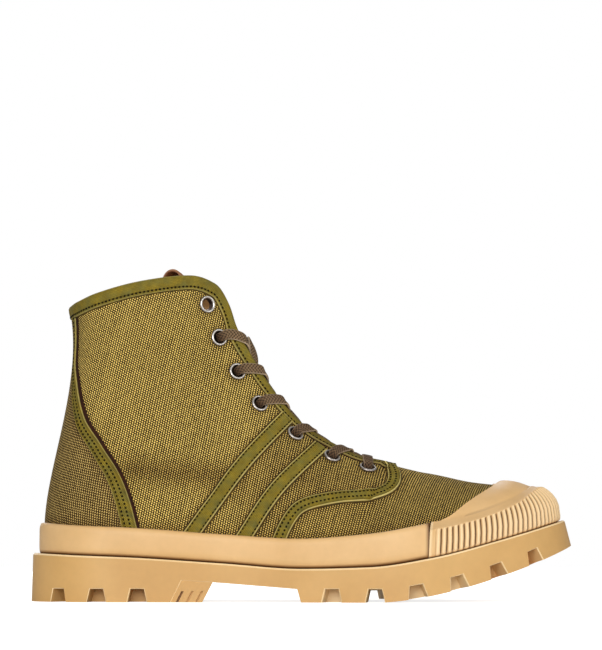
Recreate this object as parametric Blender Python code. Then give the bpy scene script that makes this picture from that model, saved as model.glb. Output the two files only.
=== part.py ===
"""Canvas ankle boot for the right foot, standing on its lugged rubber sole.

The toe points to +X, the medial side to +Y and up is +Z; the floor is z = 0.
A last function gives the outer face of the upper.
Every panel, tape, cap and rim is worked out from it.
"""

import math

import bmesh
import bpy
import numpy as np
from mathutils import Matrix, Vector

MM = 0.001

# Driving sizes of the boot
LAST_LENGTH = 272.5 * MM
BALL_WIDTH = 91.5 * MM
HEEL_X = -137.25 * MM  # back of the last
WALL = 1.8 * MM  # canvas and its lining
GAP = 0.35 * MM  # clearance between pieces that touch
FACE_GAP = 0.65 * MM  # clearance of a piece that follows the curved upper
TAPE = 0.8 * MM  # thickness of the sewn tapes
FLOOR = 1.8 * MM  # midsole web under the foot
INSOLE = 3.0 * MM

LATERAL, MEDIAL = -1, 1
SIDE_NAMES = {LATERAL: "lateral", MEDIAL: "medial"}


def table(columns, *rows):
    """A table as one array for each named column."""
    return dict(zip(columns.split(), np.array(rows, float).T))


# Outline of the last in plan: shares of the last's length and of the ball width
OUTLINE = table(
    "along centre half",
    (0.00, 0.000, 0.325),
    (0.12, 0.000, 0.335),
    (0.25, -0.005, 0.347),
    (0.42, -0.035, 0.352),
    (0.55, -0.045, 0.405),
    (0.66, -0.033, 0.475),
    (0.74, -0.008, 0.500),
    (0.83, 0.025, 0.490),
    (1.00, 0.085, 0.470),
)
HEEL_ROUND, HEEL_POWER = 0.13, 2.1
TOE_ROUND, TOE_POWER = 0.30, 2.25

# Side of the sole, in mm: the outsole's ledge and the top of the midsole rim
SOLE_SIDE = table(
    "x ledge rim",
    (-146, 26.0, 41.6),
    (-120, 24.5, 40.8),
    (-90, 23.9, 40.2),
    (-40, 21.5, 37.4),
    (0, 18.8, 35.4),
    (36, 18.8, 36.4),
    (68, 23.1, 41.8),
    (105, 32.5, 51.0),
    (146, 44.5, 62.0),
)
SPRING_START, SPRING_RUN, SPRING_RISE, SPRING_POWER = 40 * MM, 106 * MM, 29.5 * MM, 1.6

# How far the pieces of the sole stand out from the last's edge in plan, in mm, from the toe to the heel
MARGINS = table(
    "along outsole_bottom outsole_top midsole",
    (0.00, 12.0, 8.6, 6.5),
    (0.15, 10.0, 8.3, 6.5),
    (0.30, 8.8, 8.0, 6.5),
    (0.50, 8.4, 7.7, 6.5),
    (0.85, 8.4, 7.7, 6.5),
    (1.00, 8.5, 7.9, 5.4),
)
# Section of the midsole's side from the ledge to its rim: shares of its height and of its margin
MIDSOLE_SIDE = table(
    "height margin",
    (0.00, 0.77),
    (0.30, 1.00),
    (0.80, 1.00),
    (1.00, 0.75),
)
CAP_GAP = 0.9 * MM
TOE_LIP, TOE_LIP_MARGIN = 1.5 * MM, 1.9 * MM  # the midsole's low edge inside the toe cap

# Tread, in mm: side notches, the arch between heel and forefoot, hollows of the underside and their lugs
NOTCHES = table(
    "x depth",
    (-129.0, 13),
    (-108.0, 13),
    (-86.4, 13),
    (16.0, 13),
    (38.6, 20),
    (61.2, 13),
    (83.2, 13),
    (104.5, 13),
    (125.0, 12),
)
NOTCH_BOTTOM, NOTCH_TOP, NOTCH_HEIGHT = 10.3 * MM, 7 * MM, 7 * MM
ARCH = ((-52.4, -1.0), (-46.4, 11.0), (-2.0, 7.9), (0.25, -1.0))
HOLLOWS = ((-126, -64), (8, 114))
HOLLOW_DEPTH, HOLLOW_BORDER = 6 * MM, 16 * MM
LUGS = table(
    "start end share",
    (-117, -99, 0.72),
    (-93, -79, 0.72),
    (11, 32, 0.70),
    (46, 70, 0.70),
    (76, 91, 0.70),
    (97, 110, 0.66),
)
GRIP_SLOTS = (-63.5, -58.9, -54.3)  # slanted slots at the lateral front of the heel
GRIP_WIDTH, GRIP_DEPTH, GRIP_LOW, GRIP_HIGH = 2.2 * MM, 1.2 * MM, 1.6 * MM, 10 * MM

# Top line of the upper, in mm: vamp ridge, throat edge, collar. "along" runs from the toe to the heel.
TOPLINE = table(
    "along x y z",
    (0.000, 112, 0, 61.0),
    (0.100, 105, 0, 62.7),
    (0.200, 92, 0, 64.4),
    (0.300, 74, 0, 68.3),
    (0.380, 57, 0, 71.8),
    (0.420, 48, 0, 73.8),
    (0.435, 43.5, 6, 74.6),
    (0.470, 33.5, 8.5, 76.4),
    (0.520, 16.5, 9.5, 83.9),
    (0.570, -1, 10.5, 95.3),
    (0.610, -15.5, 11, 111.9),
    (0.660, -27.5, 11.5, 130.6),
    (0.700, -35.9, 12, 146.9),
    (0.725, -39.8, 13, 158.5),
    (0.750, -46.5, 16.5, 168.8),
    (0.790, -59, 24, 172.5),
    (0.850, -85, 31, 168.9),
    (0.920, -110, 25.5, 162.7),
    (0.965, -121.5, 14, 158.8),
    (1.000, -125.6, 0, 158.0),
)
THROAT_START = 0.42

# Handles of the wall curves, in mm: how a column leaves the last's edge and how it comes to the top line
WALLS = table(
    "along rise flare crown_x crown_y crown_z",
    (0.00, 11, 4.0, 17, 0, 0),
    (0.12, 12, 4.0, 10, 15, 0),
    (0.25, 15, 3.5, 2, 23, 0),
    (0.38, 18, 3.0, 0, 21, -2),
    (0.44, 22, 2.5, 0, 20, -5),
    (0.52, 28, 2.5, -2, 20, -10),
    (0.57, 32, 2.5, -3, 19, -14),
    (0.61, 36, 2.5, -6, 16, -23),
    (0.70, 40, 2.5, -12, 12, -36),
    (0.75, 40, 3.0, -8, 9, -44),
    (0.85, 38, 3.5, 0, -2, -45),
    (1.00, 32, 7.0, 9, 0, -45),
)

# Lines drawn on the side of the upper, in mm of the side view
BAND_REAR = ((-59.0, 34.6), (-31.4, 72.6), (-9.5, 97.2))
BAND_FRONT = ((-32.0, 31.4), (-13.4, 59.2), (9.2, 82.0))
EYESTAY = ((-12.5, 30.5), (-7.0, 42.4), (0.0, 50.5), (18.0, 55.6), (42.0, 59.3), (48.3, 67.2))
COUNTER_EDGE = (
    (-90.0, 34.5),
    (-94.6, 52.0),
    (-100.7, 67.6),
    (-109.0, 81.7),
    (-117.5, 96.4),
    (-120.5, 121.3),
    (-121.5, 152.5),
)
BAND_WIDTH, EYESTAY_WIDTH, COUNTER_TAPE_WIDTH = 8 * MM, 7 * MM, 6.2 * MM

# Eyelets of the side view, rows from the collar down
EYELET_ROWS = table(
    "x z",
    (-50.7, 159.5),
    (-44.3, 141.8),
    (-34.4, 123.4),
    (-22.4, 106.0),
    (-3.2, 89.8),
    (16.5, 77.6),
    (36.0, 71.5),
)
EYELET_RADIUS, EYELET_HOLE = 4.7 * MM, 2.6 * MM
BARREL, PUNCH = 3.05 * MM, 3.7 * MM

BINDING_WIDTH, THROAT_BINDING = 4.6 * MM, 3.6 * MM
BADGE_CENTRE, BADGE_RADIUS = (-88, 113), 19 * MM
LACE_WIDTH, LACE_THICK = 5.2 * MM, 1.4 * MM
LACE_START, LACE_OVER = 0.35, 0.15  # shares of the run from an eyelet to the throat's edge
LACE_LIFT, LACE_CORNER, LACE_DIP = 3.15 * MM, 3.6 * MM, 3.1 * MM  # over the canvas, its edge and past it
LACE_PAST, LACE_END, LACE_MIDDLE = 2.2 * MM, 6.8 * MM, 1.3 * MM

# Toe cap: where its lines lie up the columns of the last, and how far it stands out there, in mm
CAP_END = 0.30  # share of the side where the cap meets the midsole
CAP_LINES = table(
    "along band_top crease",
    (0.000, 0.570, 0.670),
    (0.036, 0.545, 0.640),
    (0.088, 0.450, 0.530),
    (0.128, 0.350, 0.430),
    (0.182, 0.265, 0.345),
    (0.236, 0.225, 0.300),
    (0.300, 0.205, 0.285),
)
CAP_BACK = table(
    "over along",
    (0.00, 0.290),
    (0.06, 0.267),
    (0.24, 0.240),
    (0.47, 0.192),
    (0.56, 0.172),
    (0.80, 0.133),
    (1.00, 0.105),
)
CAP_FACE = table(
    "along foot ribs shoulder crease dome",
    (0.00, 6.3, 5.2, 4.4, 2.8, 2.8),
    (0.15, 5.9, 5.5, 4.8, 2.7, 2.6),
    (0.30, 5.6, 5.6, 5.0, 2.5, 2.2),
)
RIBS, RIB_HEIGHT = 60, 1.1 * MM

# Tongue: sections from under the vamp to its top, in mm
TONGUE_ROWS = table(
    "along reach inset recess shift_x shift_z",
    (0.380, 9, 5.0, 5.0, 0, 0),
    (0.408, 10, 5.0, 5.0, 0, 0),
    (0.440, 11, 5.0, 3.8, 0, 0),
    (0.475, 12, 4.5, 2.6, 0, 0),
    (0.520, 13, 4.3, 2.2, 0, 0),
    (0.570, 14, 4.4, 2.3, 0, 0),
    (0.615, 14, 4.6, 3.0, 0, 0),
    (0.660, 14, 5.4, 4.5, 0, 0),
    (0.700, 13, 6.6, 7.0, 0, 0),
    (0.726, 11, 8.0, 10.0, -1, 0),
    (0.726, 9, 8.0, 10.0, -9, 7),
    (0.726, 7, 8.0, 10.0, -16.5, 13),
)
TONGUE_THICK = 2.4 * MM
TAB_LENGTH, TAB_HEIGHT, TAB_WIDTH, TAB_THICK = 12 * MM, 8.5 * MM, 14 * MM, 1.7 * MM

COLOURS = {
    "canvas": (0.21, 0.16, 0.045, 0.9, 0.0),
    "tape": (0.19, 0.18, 0.03, 0.8, 0.0),
    "rubber": (0.72, 0.46, 0.2, 0.55, 0.0),
    "leather": (0.7, 0.38, 0.17, 0.5, 0.0),
    "metal": (0.5, 0.5, 0.48, 0.3, 1.0),
    "lace": (0.13, 0.09, 0.05, 0.85, 0.0),
    "lining": (0.06, 0.05, 0.02, 0.9, 0.0),
}


def smooth(at, knots, values):
    """A cubic through the table's knots that never overshoots between them."""
    step = np.diff(knots)
    slope = np.diff(values) / step
    tangent = np.concatenate([slope[:1], np.zeros(len(knots) - 2), slope[-1:]])
    same_way = slope[:-1] * slope[1:] > 0
    weight_a, weight_b = 2 * step[1:] + step[:-1], step[1:] + 2 * step[:-1]
    with np.errstate(divide="ignore", invalid="ignore"):
        mean = (weight_a + weight_b) / (weight_a / slope[:-1] + weight_b / slope[1:])
    tangent[1:-1] = np.where(same_way, mean, 0)
    at = np.clip(at, knots[0], knots[-1])
    i = np.clip(np.searchsorted(knots, at, side="right") - 1, 0, len(knots) - 2)
    t = (at - knots[i]) / step[i]
    return (
        values[i] * (1 + 2 * t) * (1 - t) ** 2
        + tangent[i] * step[i] * t * (1 - t) ** 2
        + values[i + 1] * t * t * (3 - 2 * t)
        + tangent[i + 1] * step[i] * t * t * (t - 1)
    )


def read(rows, column, at, key="along"):
    return smooth(np.asarray(at, float), rows[key], rows[column])


def unit(vector):
    return vector / np.linalg.norm(vector)


def ease(t):
    t = np.clip(t, 0, 1)
    return t * t * (3 - 2 * t)


# The last


def plan_loop(count=720):
    """Points and outward normals of the last's outline, lateral side first, then back to the toe."""
    turn = np.linspace(0, 2 * math.pi, count, endpoint=False)
    along = 0.5 + 0.5 * np.cos(turn)
    side = np.where(turn <= math.pi, LATERAL, MEDIAL)
    toe = np.clip((along - 1 + TOE_ROUND) / TOE_ROUND, 0, 1)
    heel = np.clip((HEEL_ROUND - along) / HEEL_ROUND, 0, 1)
    rounding = (1 - toe**TOE_POWER) ** (1 / TOE_POWER) * (1 - heel**HEEL_POWER) ** (1 / HEEL_POWER)
    half = read(OUTLINE, "half", along) * rounding
    y = (read(OUTLINE, "centre", along) + side * half) * BALL_WIDTH
    points = np.stack([HEEL_X + along * LAST_LENGTH, y], -1)
    tangent = np.roll(points, -1, 0) - np.roll(points, 1, 0)
    normal = np.stack([-tangent[:, 1], tangent[:, 0]], -1) * -1
    normal /= np.linalg.norm(normal, axis=1, keepdims=True)
    centre = points.mean(0)
    if ((points - centre) * normal).sum() < 0:
        normal = -normal
    return points, normal


PLAN_POINTS, PLAN_NORMALS = plan_loop()


def side_line(side):
    """One side of the outline, from the toe to the heel, with the share of its length at each point."""
    half = len(PLAN_POINTS) // 2
    order = np.arange(half + 1) if side == LATERAL else -np.arange(half + 1)
    points, normals = PLAN_POINTS[order], PLAN_NORMALS[order]
    length = np.concatenate([[0], np.cumsum(np.linalg.norm(np.diff(points, axis=0), axis=1))])
    return length / length[-1], points, normals


SIDE_LINES = {side: side_line(side) for side in (LATERAL, MEDIAL)}
CENTRE_Y = -(PLAN_POINTS[:, 1].max() + PLAN_POINTS[:, 1].min()) / 2


def last_plan(side, along):
    """Plan point and outward normal of the last's edge."""
    share, points, normals = SIDE_LINES[side]
    point = np.stack([np.interp(along, share, points[:, i]) for i in (0, 1)], -1)
    out = np.stack([np.interp(along, share, normals[:, i]) for i in (0, 1)], -1)
    point = point + np.array([0, CENTRE_Y])
    return point, out / np.linalg.norm(out, axis=-1, keepdims=True)


def ledge_z(x):
    return read(SOLE_SIDE, "ledge", np.asarray(x) / MM, "x") * MM


def rim_z(x):
    return read(SOLE_SIDE, "rim", np.asarray(x) / MM, "x") * MM


def ground_z(x):
    rise = np.clip((np.asarray(x) - SPRING_START) / SPRING_RUN, 0, None)
    return SPRING_RISE * rise**SPRING_POWER


def floor_z(x):
    """Top of the midsole's web."""
    return ledge_z(x) + GAP + FLOOR


def edge_z(x):
    """Height of the last's lower edge, just above the midsole's web."""
    return floor_z(x) + GAP


def ridge_y(x):
    """The middle of the top line bends to the medial side at the toe."""
    bend = np.clip((np.asarray(x) + 20 * MM) / (130 * MM), 0, 1)
    return CENTRE_Y + 6 * MM * bend**1.6


def one_side(side, along, up):
    """Outer face of the upper on one side: a cubic column from the last's edge to the top line."""
    along, up = np.broadcast_arrays(np.asarray(along, float), np.asarray(up, float))
    plan, out = last_plan(side, along)
    foot = np.concatenate([plan, edge_z(plan[..., :1])], -1)
    x, y, z = (read(TOPLINE, name, along) * MM for name in "xyz")
    top = np.stack([x, ridge_y(x) + side * y, z], -1)
    rise, flare = (read(WALLS, name, along)[..., None] * MM for name in ("rise", "flare"))
    low = foot + np.concatenate([out * flare, rise], -1)
    crown = [read(WALLS, "crown_" + name, along) * MM for name in "xyz"]
    high = top + np.stack([crown[0], side * crown[1], crown[2]], -1)
    t = up[..., None]
    return (1 - t) ** 3 * foot + 3 * (1 - t) ** 2 * t * low + 3 * (1 - t) * t**2 * high + t**3 * top


def upper_point(side, along, up):
    """Outer face, running on to the other side past the toe, the heel and the vamp ridge."""
    side, along, up = np.broadcast_arrays(np.asarray(side), np.asarray(along, float), np.asarray(up, float))
    crosses = (along < 0) ^ (along > 1)
    along = np.where(along < 0, -along, np.where(along > 1, 2 - along, along))
    over = (up > 1) & (along < THROAT_START)
    up = np.where(over, 2 - up, np.minimum(up, 1))
    here = np.where(crosses ^ over, -side, side)
    return np.where((here == LATERAL)[..., None], one_side(LATERAL, along, up), one_side(MEDIAL, along, up))


def upper_normal(side, along, up):
    """Outward unit normal of the outer face."""
    small = 2e-3
    side, along, up = np.broadcast_arrays(np.asarray(side), np.asarray(along, float), np.asarray(up, float))
    up = np.where((np.abs(along) < 0.01) & (up > 0.98), 0.98, up)
    top = np.where(along < THROAT_START, up + small, np.minimum(up + small, 1))
    a = upper_point(side, along + small, up) - upper_point(side, along - small, up)
    b = upper_point(side, along, top) - upper_point(side, along, np.maximum(up - small, 0))
    normal = np.cross(a, b) * side[..., None]
    return normal / np.linalg.norm(normal, axis=-1, keepdims=True)


def off_upper(side, along, up, distance):
    distance = np.asarray(distance, float)
    return upper_point(side, along, up) + upper_normal(side, along, up) * distance[..., None]


SEARCH_ALONG, SEARCH_UP = np.meshgrid(np.linspace(0, 1, 161), np.linspace(0, 1, 61), indexing="ij")
SEARCH = {side: one_side(side, SEARCH_ALONG, SEARCH_UP) for side in (LATERAL, MEDIAL)}


def on_side(side, x, z):
    """Place on the last, along and up, of a point of the side view in metres."""
    miss = (SEARCH[side][..., 0] - x) ** 2 + (SEARCH[side][..., 2] - z) ** 2
    i = np.unravel_index(np.argmin(miss), miss.shape)
    at = np.array([SEARCH_ALONG[i], SEARCH_UP[i]])
    small = 1e-4
    for _ in range(8):
        here = one_side(side, *at)[[0, 2]]
        slope = np.stack([(one_side(side, *(at + d))[[0, 2]] - here) / small for d in np.eye(2) * small], -1)
        step = np.linalg.lstsq(slope, np.array([x, z]) - here, rcond=1e-3)[0]
        at = np.clip(at + np.clip(step, -0.03, 0.03), 0, 1)
    return at


def walk(side, at, vector):
    """Place reached from a place on the last by a small step along its face."""
    small = 1e-3
    here = upper_point(side, *at)
    slope = np.stack([(upper_point(side, *(at + d)) - here) / small for d in np.eye(2) * small], -1)
    return at + np.linalg.lstsq(slope, vector, rcond=1e-6)[0]


# Meshes and objects


def clear_scene():
    for obj in list(bpy.data.objects):
        bpy.data.objects.remove(obj, do_unlink=True)


def material(name):
    found = bpy.data.materials.get(name)
    if found:
        return found
    made = bpy.data.materials.new(name)
    made.use_nodes = True
    red, green, blue, rough, metal = COLOURS[name]
    shader = made.node_tree.nodes["Principled BSDF"]
    shader.inputs["Base Color"].default_value = (red, green, blue, 1)
    shader.inputs["Roughness"].default_value = rough
    shader.inputs["Metallic"].default_value = metal
    return made


def add_object(name, mesh, colour, boot):
    obj = bpy.data.objects.new(name, mesh)
    bpy.context.scene.collection.objects.link(obj)
    obj.parent = boot
    if not mesh.materials:
        mesh.materials.append(material(colour))
    return obj


def make_mesh(name, points, faces, smooth_angle=35):
    """A mesh with its doubled points merged and its faces turned outwards."""
    form = bmesh.new()
    corners = [form.verts.new(p) for p in points]
    for face in faces:
        form.faces.new([corners[i] for i in face])
    bmesh.ops.remove_doubles(form, verts=form.verts, dist=1e-6)
    bmesh.ops.dissolve_degenerate(form, edges=form.edges, dist=1e-7)
    bmesh.ops.recalc_face_normals(form, faces=form.faces)
    mesh = bpy.data.meshes.new(name)
    form.to_mesh(mesh)
    form.free()
    mesh.shade_smooth()
    mesh.set_sharp_from_angle(angle=math.radians(smooth_angle))
    return mesh


def grid_faces(rows, columns, first=0, flip=False):
    """Quads of a grid whose points are listed row by row."""
    faces = []
    for r in range(rows - 1):
        for c in range(columns - 1):
            a = first + r * columns + c
            quad = (a, a + 1, a + columns + 1, a + columns)
            faces.append(quad[::-1] if flip else quad)
    return faces


def plate(name, low, high):
    """A closed sheet between two grids of points of the same shape."""
    rows, columns = low.shape[:2]
    points = np.concatenate([low.reshape(-1, 3), high.reshape(-1, 3)])
    count = rows * columns
    faces = grid_faces(rows, columns, 0, True) + grid_faces(rows, columns, count)
    border = (
        [c for c in range(columns)]
        + [r * columns + columns - 1 for r in range(1, rows)]
        + [(rows - 1) * columns + c for c in range(columns - 2, -1, -1)]
        + [r * columns for r in range(rows - 2, 0, -1)]
    )
    for a, b in zip(border, border[1:] + border[:1]):
        faces.append((a, b, count + b, count + a))
    return make_mesh(name, points, faces)


def ring_faces(rings, around):
    """Quads between closed loops of the same number of points."""
    faces = []
    for r in range(rings - 1):
        for c in range(around):
            n = (c + 1) % around
            faces.append((r * around + c, r * around + n, (r + 1) * around + n, (r + 1) * around + c))
    return faces


def across_faces(loop):
    """Strips that close a loop listed toe to heel on one side and back on the other."""
    half = len(loop) // 2
    faces = []
    for i in range(half):
        a, b = loop[i], loop[i + 1]
        c, d = loop[(len(loop) - i - 1) % len(loop)], loop[(len(loop) - i) % len(loop)]
        faces.append([p for k, p in enumerate((a, b, c, d)) if p not in (a, b, c, d)[:k]])
    return faces


def loop_places(along):
    """Sides and places of a closed loop: toe to heel on the lateral side, then back on the medial."""
    sides = [LATERAL] * len(along) + [MEDIAL] * (len(along) - 2)
    return np.array(sides), np.concatenate([along, along[-2:0:-1]])


def path_through(points, count):
    """Even points of a smooth line through a few points."""
    points = np.asarray(points, float)
    length = np.concatenate([[0], np.cumsum(np.linalg.norm(np.diff(points, axis=0), axis=1))])
    at = np.linspace(0, length[-1], count)
    before, after = 2 * points[0] - points[1], 2 * points[-1] - points[-2]
    padded = np.concatenate([[before], points, [after]])
    knots = np.concatenate([[length[0] - length[1]], length, [2 * length[-1] - length[-2]]])
    i = np.clip(np.searchsorted(length, at, side="right") - 1, 0, len(points) - 2)
    t = ((at - length[i]) / (length[i + 1] - length[i]))[:, None]
    slope_a = (padded[i + 2] - padded[i]) / (knots[i + 2] - knots[i])[:, None]
    slope_b = (padded[i + 3] - padded[i + 1]) / (knots[i + 3] - knots[i + 1])[:, None]
    span = (length[i + 1] - length[i])[:, None]
    return (
        points[i] * (1 + 2 * t) * (1 - t) ** 2
        + slope_a * span * t * (1 - t) ** 2
        + points[i + 1] * t * t * (3 - 2 * t)
        + slope_b * span * t * t * (t - 1)
    )


def boolean(obj, tool, operation):
    step = obj.modifiers.new(tool.name, "BOOLEAN")
    step.operation = operation
    step.object = tool
    step.solver = "EXACT"
    tool.hide_render = True
    tool.display_type = "WIRE"


# The upper and what is sewn to it

UPPER_ALONG = np.concatenate(
    [
        np.linspace(0, 0.24, 7),
        [0.27, 0.30, 0.34, 0.37, 0.40, 0.42, 0.428, 0.442, 0.47],
        np.linspace(0.50, 0.725, 9),
        [0.75, 0.77],
        np.linspace(0.80, 1, 8),
    ]
)
UPPER_UP = np.linspace(0, 1, 9)


def make_upper(boot):
    """The canvas wall, one hollow sheet, with its eyelet holes punched."""
    sides, along = loop_places(UPPER_ALONG)
    points = upper_point(sides[:, None], along[:, None], UPPER_UP[None, :])
    columns, rows = points.shape[:2]
    faces = []
    for c in range(columns):
        n = (c + 1) % columns
        for r in range(rows - 1):
            faces.append((c * rows + r, c * rows + r + 1, n * rows + r + 1, n * rows + r))
    mesh = make_mesh("upper", points.reshape(-1, 3), faces)
    probe = Vector(upper_point(LATERAL, 0.6, 0.4))
    nearest = min(mesh.polygons, key=lambda face: (face.center - probe).length)
    if nearest.normal.y > 0:
        mesh.flip_normals()
    upper = add_object("upper", mesh, "canvas", boot)
    wall = upper.modifiers.new("wall", "SOLIDIFY")
    wall.thickness = WALL
    wall.offset = -1
    wall.use_even_offset = True
    boolean(upper, add_object("eyelet_punch", punch_mesh(), "metal", boot), "DIFFERENCE")


def edge_up(side, along, distance):
    """How far up a column lies the point at a distance from the edge of the throat or collar."""
    ups = np.linspace(1, 0.2, 161)
    line = upper_point(side, along, ups)
    edge = upper_point(side, along + 0.003, 1) - upper_point(side, max(along - 0.003, THROAT_START), 1)
    edge /= np.linalg.norm(edge)
    return float(np.interp(distance, np.linalg.norm(np.cross(line - line[0], edge), axis=1), ups))


def eyelet_places(side):
    """Place on the last of each eyelet of a side, from the collar down."""
    return [on_side(side, x * MM, z * MM) for x, z in zip(EYELET_ROWS["x"], EYELET_ROWS["z"])]


def frame_at(point, out):
    """A matrix that puts local +Z along an outward direction at a point."""
    return Matrix.Translation(Vector(point)) @ Vector(out).to_track_quat("Z", "Y").to_matrix().to_4x4()


def punch_mesh(sides=8, reach=6 * MM):
    """All the eyelet holes' punches as one cutter."""
    form = bmesh.new()
    for side in (LATERAL, MEDIAL):
        for at in eyelet_places(side):
            place = frame_at(upper_point(side, *at), upper_normal(side, *at))
            size = {"radius1": PUNCH, "radius2": PUNCH, "depth": 2 * reach}
            bmesh.ops.create_cone(form, cap_ends=True, segments=sides, matrix=place, **size)
    mesh = bpy.data.meshes.new("eyelet_punch")
    form.to_mesh(mesh)
    form.free()
    return mesh


def make_eyelets(boot, sides=8):
    """Metal eyelets: a domed flange on the canvas and a barrel through the hole."""
    under, crest, barrel_end = 0.55 * MM, 1.25 * MM, -2.0 * MM
    profile = (
        (BARREL, under),
        (EYELET_RADIUS, under),
        (EYELET_RADIUS - 0.9 * MM, crest),
        (EYELET_HOLE + 0.3 * MM, crest),
        (EYELET_HOLE, barrel_end),
        (BARREL, barrel_end),
    )
    turn = np.linspace(0, 2 * math.pi, sides, endpoint=False)
    points = [(r * math.cos(a), r * math.sin(a), z) for r, z in profile for a in turn]
    faces = ring_faces(len(profile), sides)
    last = (len(profile) - 1) * sides
    faces += [(last + c, last + (c + 1) % sides, (c + 1) % sides, c) for c in range(sides)]
    mesh = make_mesh("eyelet", points, faces)
    for side, label in SIDE_NAMES.items():
        for row, at in enumerate(eyelet_places(side), 1):
            eyelet = add_object(f"eyelet_{label}_{row}", mesh, "metal", boot)
            eyelet.matrix_world = frame_at(upper_point(side, *at), upper_normal(side, *at))


def side_path(side, line, count):
    """Places on the last along a line of the side view."""
    return np.array([on_side(side, x * MM, z * MM) for x, z in path_through(line, count)])


def strip_places(side, path, width, across):
    """A grid of places on the last: a strip of even width along a path."""
    rows = []
    for i, at in enumerate(path):
        before, after = path[max(i - 1, 0)], path[min(i + 1, len(path) - 1)]
        tangent = upper_point(side, *after) - upper_point(side, *before)
        sideways = np.cross(upper_normal(side, *at), tangent)
        sideways /= np.linalg.norm(sideways)
        rows.append([walk(side, at, sideways * width * share) for share in np.linspace(-0.5, 0.5, across)])
    return np.clip(np.array(rows), 0, 1)


def trim_to_rim(side, places):
    """Starts each line of a strip just above the midsole's rim."""
    count = len(places)
    trimmed = np.empty_like(places)
    for j in range(places.shape[1]):
        line = places[:, j]
        points = upper_point(side, line[:, 0], line[:, 1])
        above = points[:, 2] - rim_z(points[:, 0]) - 1.5 * GAP
        start = np.interp(0, above[: count // 2], np.arange(count // 2))
        at = np.linspace(start, count - 1, count)
        trimmed[:, j] = np.stack([np.interp(at, np.arange(count), line[:, k]) for k in (0, 1)], -1)
    return trimmed


def tape_places(side, line, width, count, across=3):
    return trim_to_rim(side, strip_places(side, side_path(side, line, count), width, across))


def make_tape(name, side, line, width, count, boot):
    """A tape sewn on the upper along a line of its side view."""
    places = tape_places(side, line, width, count)
    along, up = places[..., 0], places[..., 1]
    grids = [off_upper(side, along, up, np.full(along.shape, d)) for d in (FACE_GAP, FACE_GAP + TAPE)]
    add_object(name, plate(name, *grids), "tape", boot)


def make_tapes(boot):
    for side, label in SIDE_NAMES.items():
        make_tape(f"band_{label}_rear", side, BAND_REAR, BAND_WIDTH, 11, boot)
        make_tape(f"band_{label}_front", side, BAND_FRONT, BAND_WIDTH, 9, boot)
        make_tape(f"eyestay_tape_{label}", side, EYESTAY, EYESTAY_WIDTH, 17, boot)
        make_tape(f"counter_tape_{label}", side, COUNTER_EDGE, COUNTER_TAPE_WIDTH, 17, boot)


def make_counter(boot, rows=9, across=6):
    """The back panel between the two counter tapes, from the rim up to the collar's binding."""
    thick = 0.8 * MM
    grid = {}
    for side in (LATERAL, MEDIAL):
        strip = tape_places(side, COUNTER_EDGE, COUNTER_TAPE_WIDTH + 4 * GAP, 40)
        back = max((strip[:, 0], strip[:, -1]), key=lambda line: line[0, 0])
        picked = back[np.linspace(0, len(back) - 1, rows).round().astype(int)]
        columns = []
        for along, up in picked:
            low, high = rim_up(side, along), edge_up(side, along, BINDING_WIDTH + 2 * GAP)
            share = np.clip((up - low) / (high - low), 0, 1)
            row = []
            for place in np.linspace(along, 1, across + 1):
                low, high = rim_up(side, place), edge_up(side, min(place, 0.997), BINDING_WIDTH + 2 * GAP)
                row.append((place, low + (high - low) * share))
            columns.append(row)
        grid[side] = np.array(columns)
    places = np.concatenate([grid[LATERAL], grid[MEDIAL][:, -2::-1]], 1)
    sides = np.array([LATERAL] * (across + 1) + [MEDIAL] * across)[None, :]
    shape = places.shape[:2]
    lifts = (3 * GAP, 3 * GAP + thick)
    low, high = (off_upper(sides, places[..., 0], places[..., 1], np.full(shape, lift)) for lift in lifts)
    add_object("heel_counter", plate("heel_counter", low, high), "canvas", boot)


BINDING_ALONG = UPPER_ALONG[UPPER_ALONG >= THROAT_START]


def make_binding(boot):
    """Tape folded over the edge of the throat and the collar, a closed channel round the whole opening."""
    clear = FACE_GAP + 0.15 * MM
    fold = clear + TAPE
    profiles = []
    for side, place in zip(*loop_places(BINDING_ALONG)):
        inside = WALL + (2.5 if place > 0.45 else 4.8) * GAP
        tip = upper_point(side, place, 1)
        if place == THROAT_START:
            out_tip = out_low = np.array([0.22, 0, 0.975])
            low = tip + np.array([0.975, 0, -0.22]) * THROAT_BINDING
        else:
            width = THROAT_BINDING + (BINDING_WIDTH - THROAT_BINDING) * float(ease((place - 0.6) / 0.15))
            reach = edge_up(side, min(place, 0.997), width)
            low = upper_point(side, place, reach)
            out_tip, out_low = upper_normal(side, place, 0.995), upper_normal(side, place, reach)
        down = low - tip
        down -= out_tip * down.dot(out_tip)
        down /= np.linalg.norm(down)
        profiles.append(
            [
                low + out_low * fold,
                tip + out_tip * fold - down * fold / 2,
                tip - out_tip * WALL / 2 - down * fold,
                tip - out_tip * (inside + TAPE) - down * fold / 2,
                low - out_low * (inside + TAPE),
                low - out_low * inside,
                tip - out_tip * inside - down * clear,
                tip + out_tip * clear - down * clear,
                low + out_low * clear,
            ]
        )
    profiles = np.array(profiles)
    around, size = profiles.shape[:2]
    faces = []
    for i in range(around):
        n = (i + 1) % around
        for k in range(size):
            m = (k + 1) % size
            faces.append((i * size + k, i * size + m, n * size + m, n * size + k))
    add_object("edge_binding", make_mesh("edge_binding", profiles.reshape(-1, 3), faces), "tape", boot)


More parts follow.
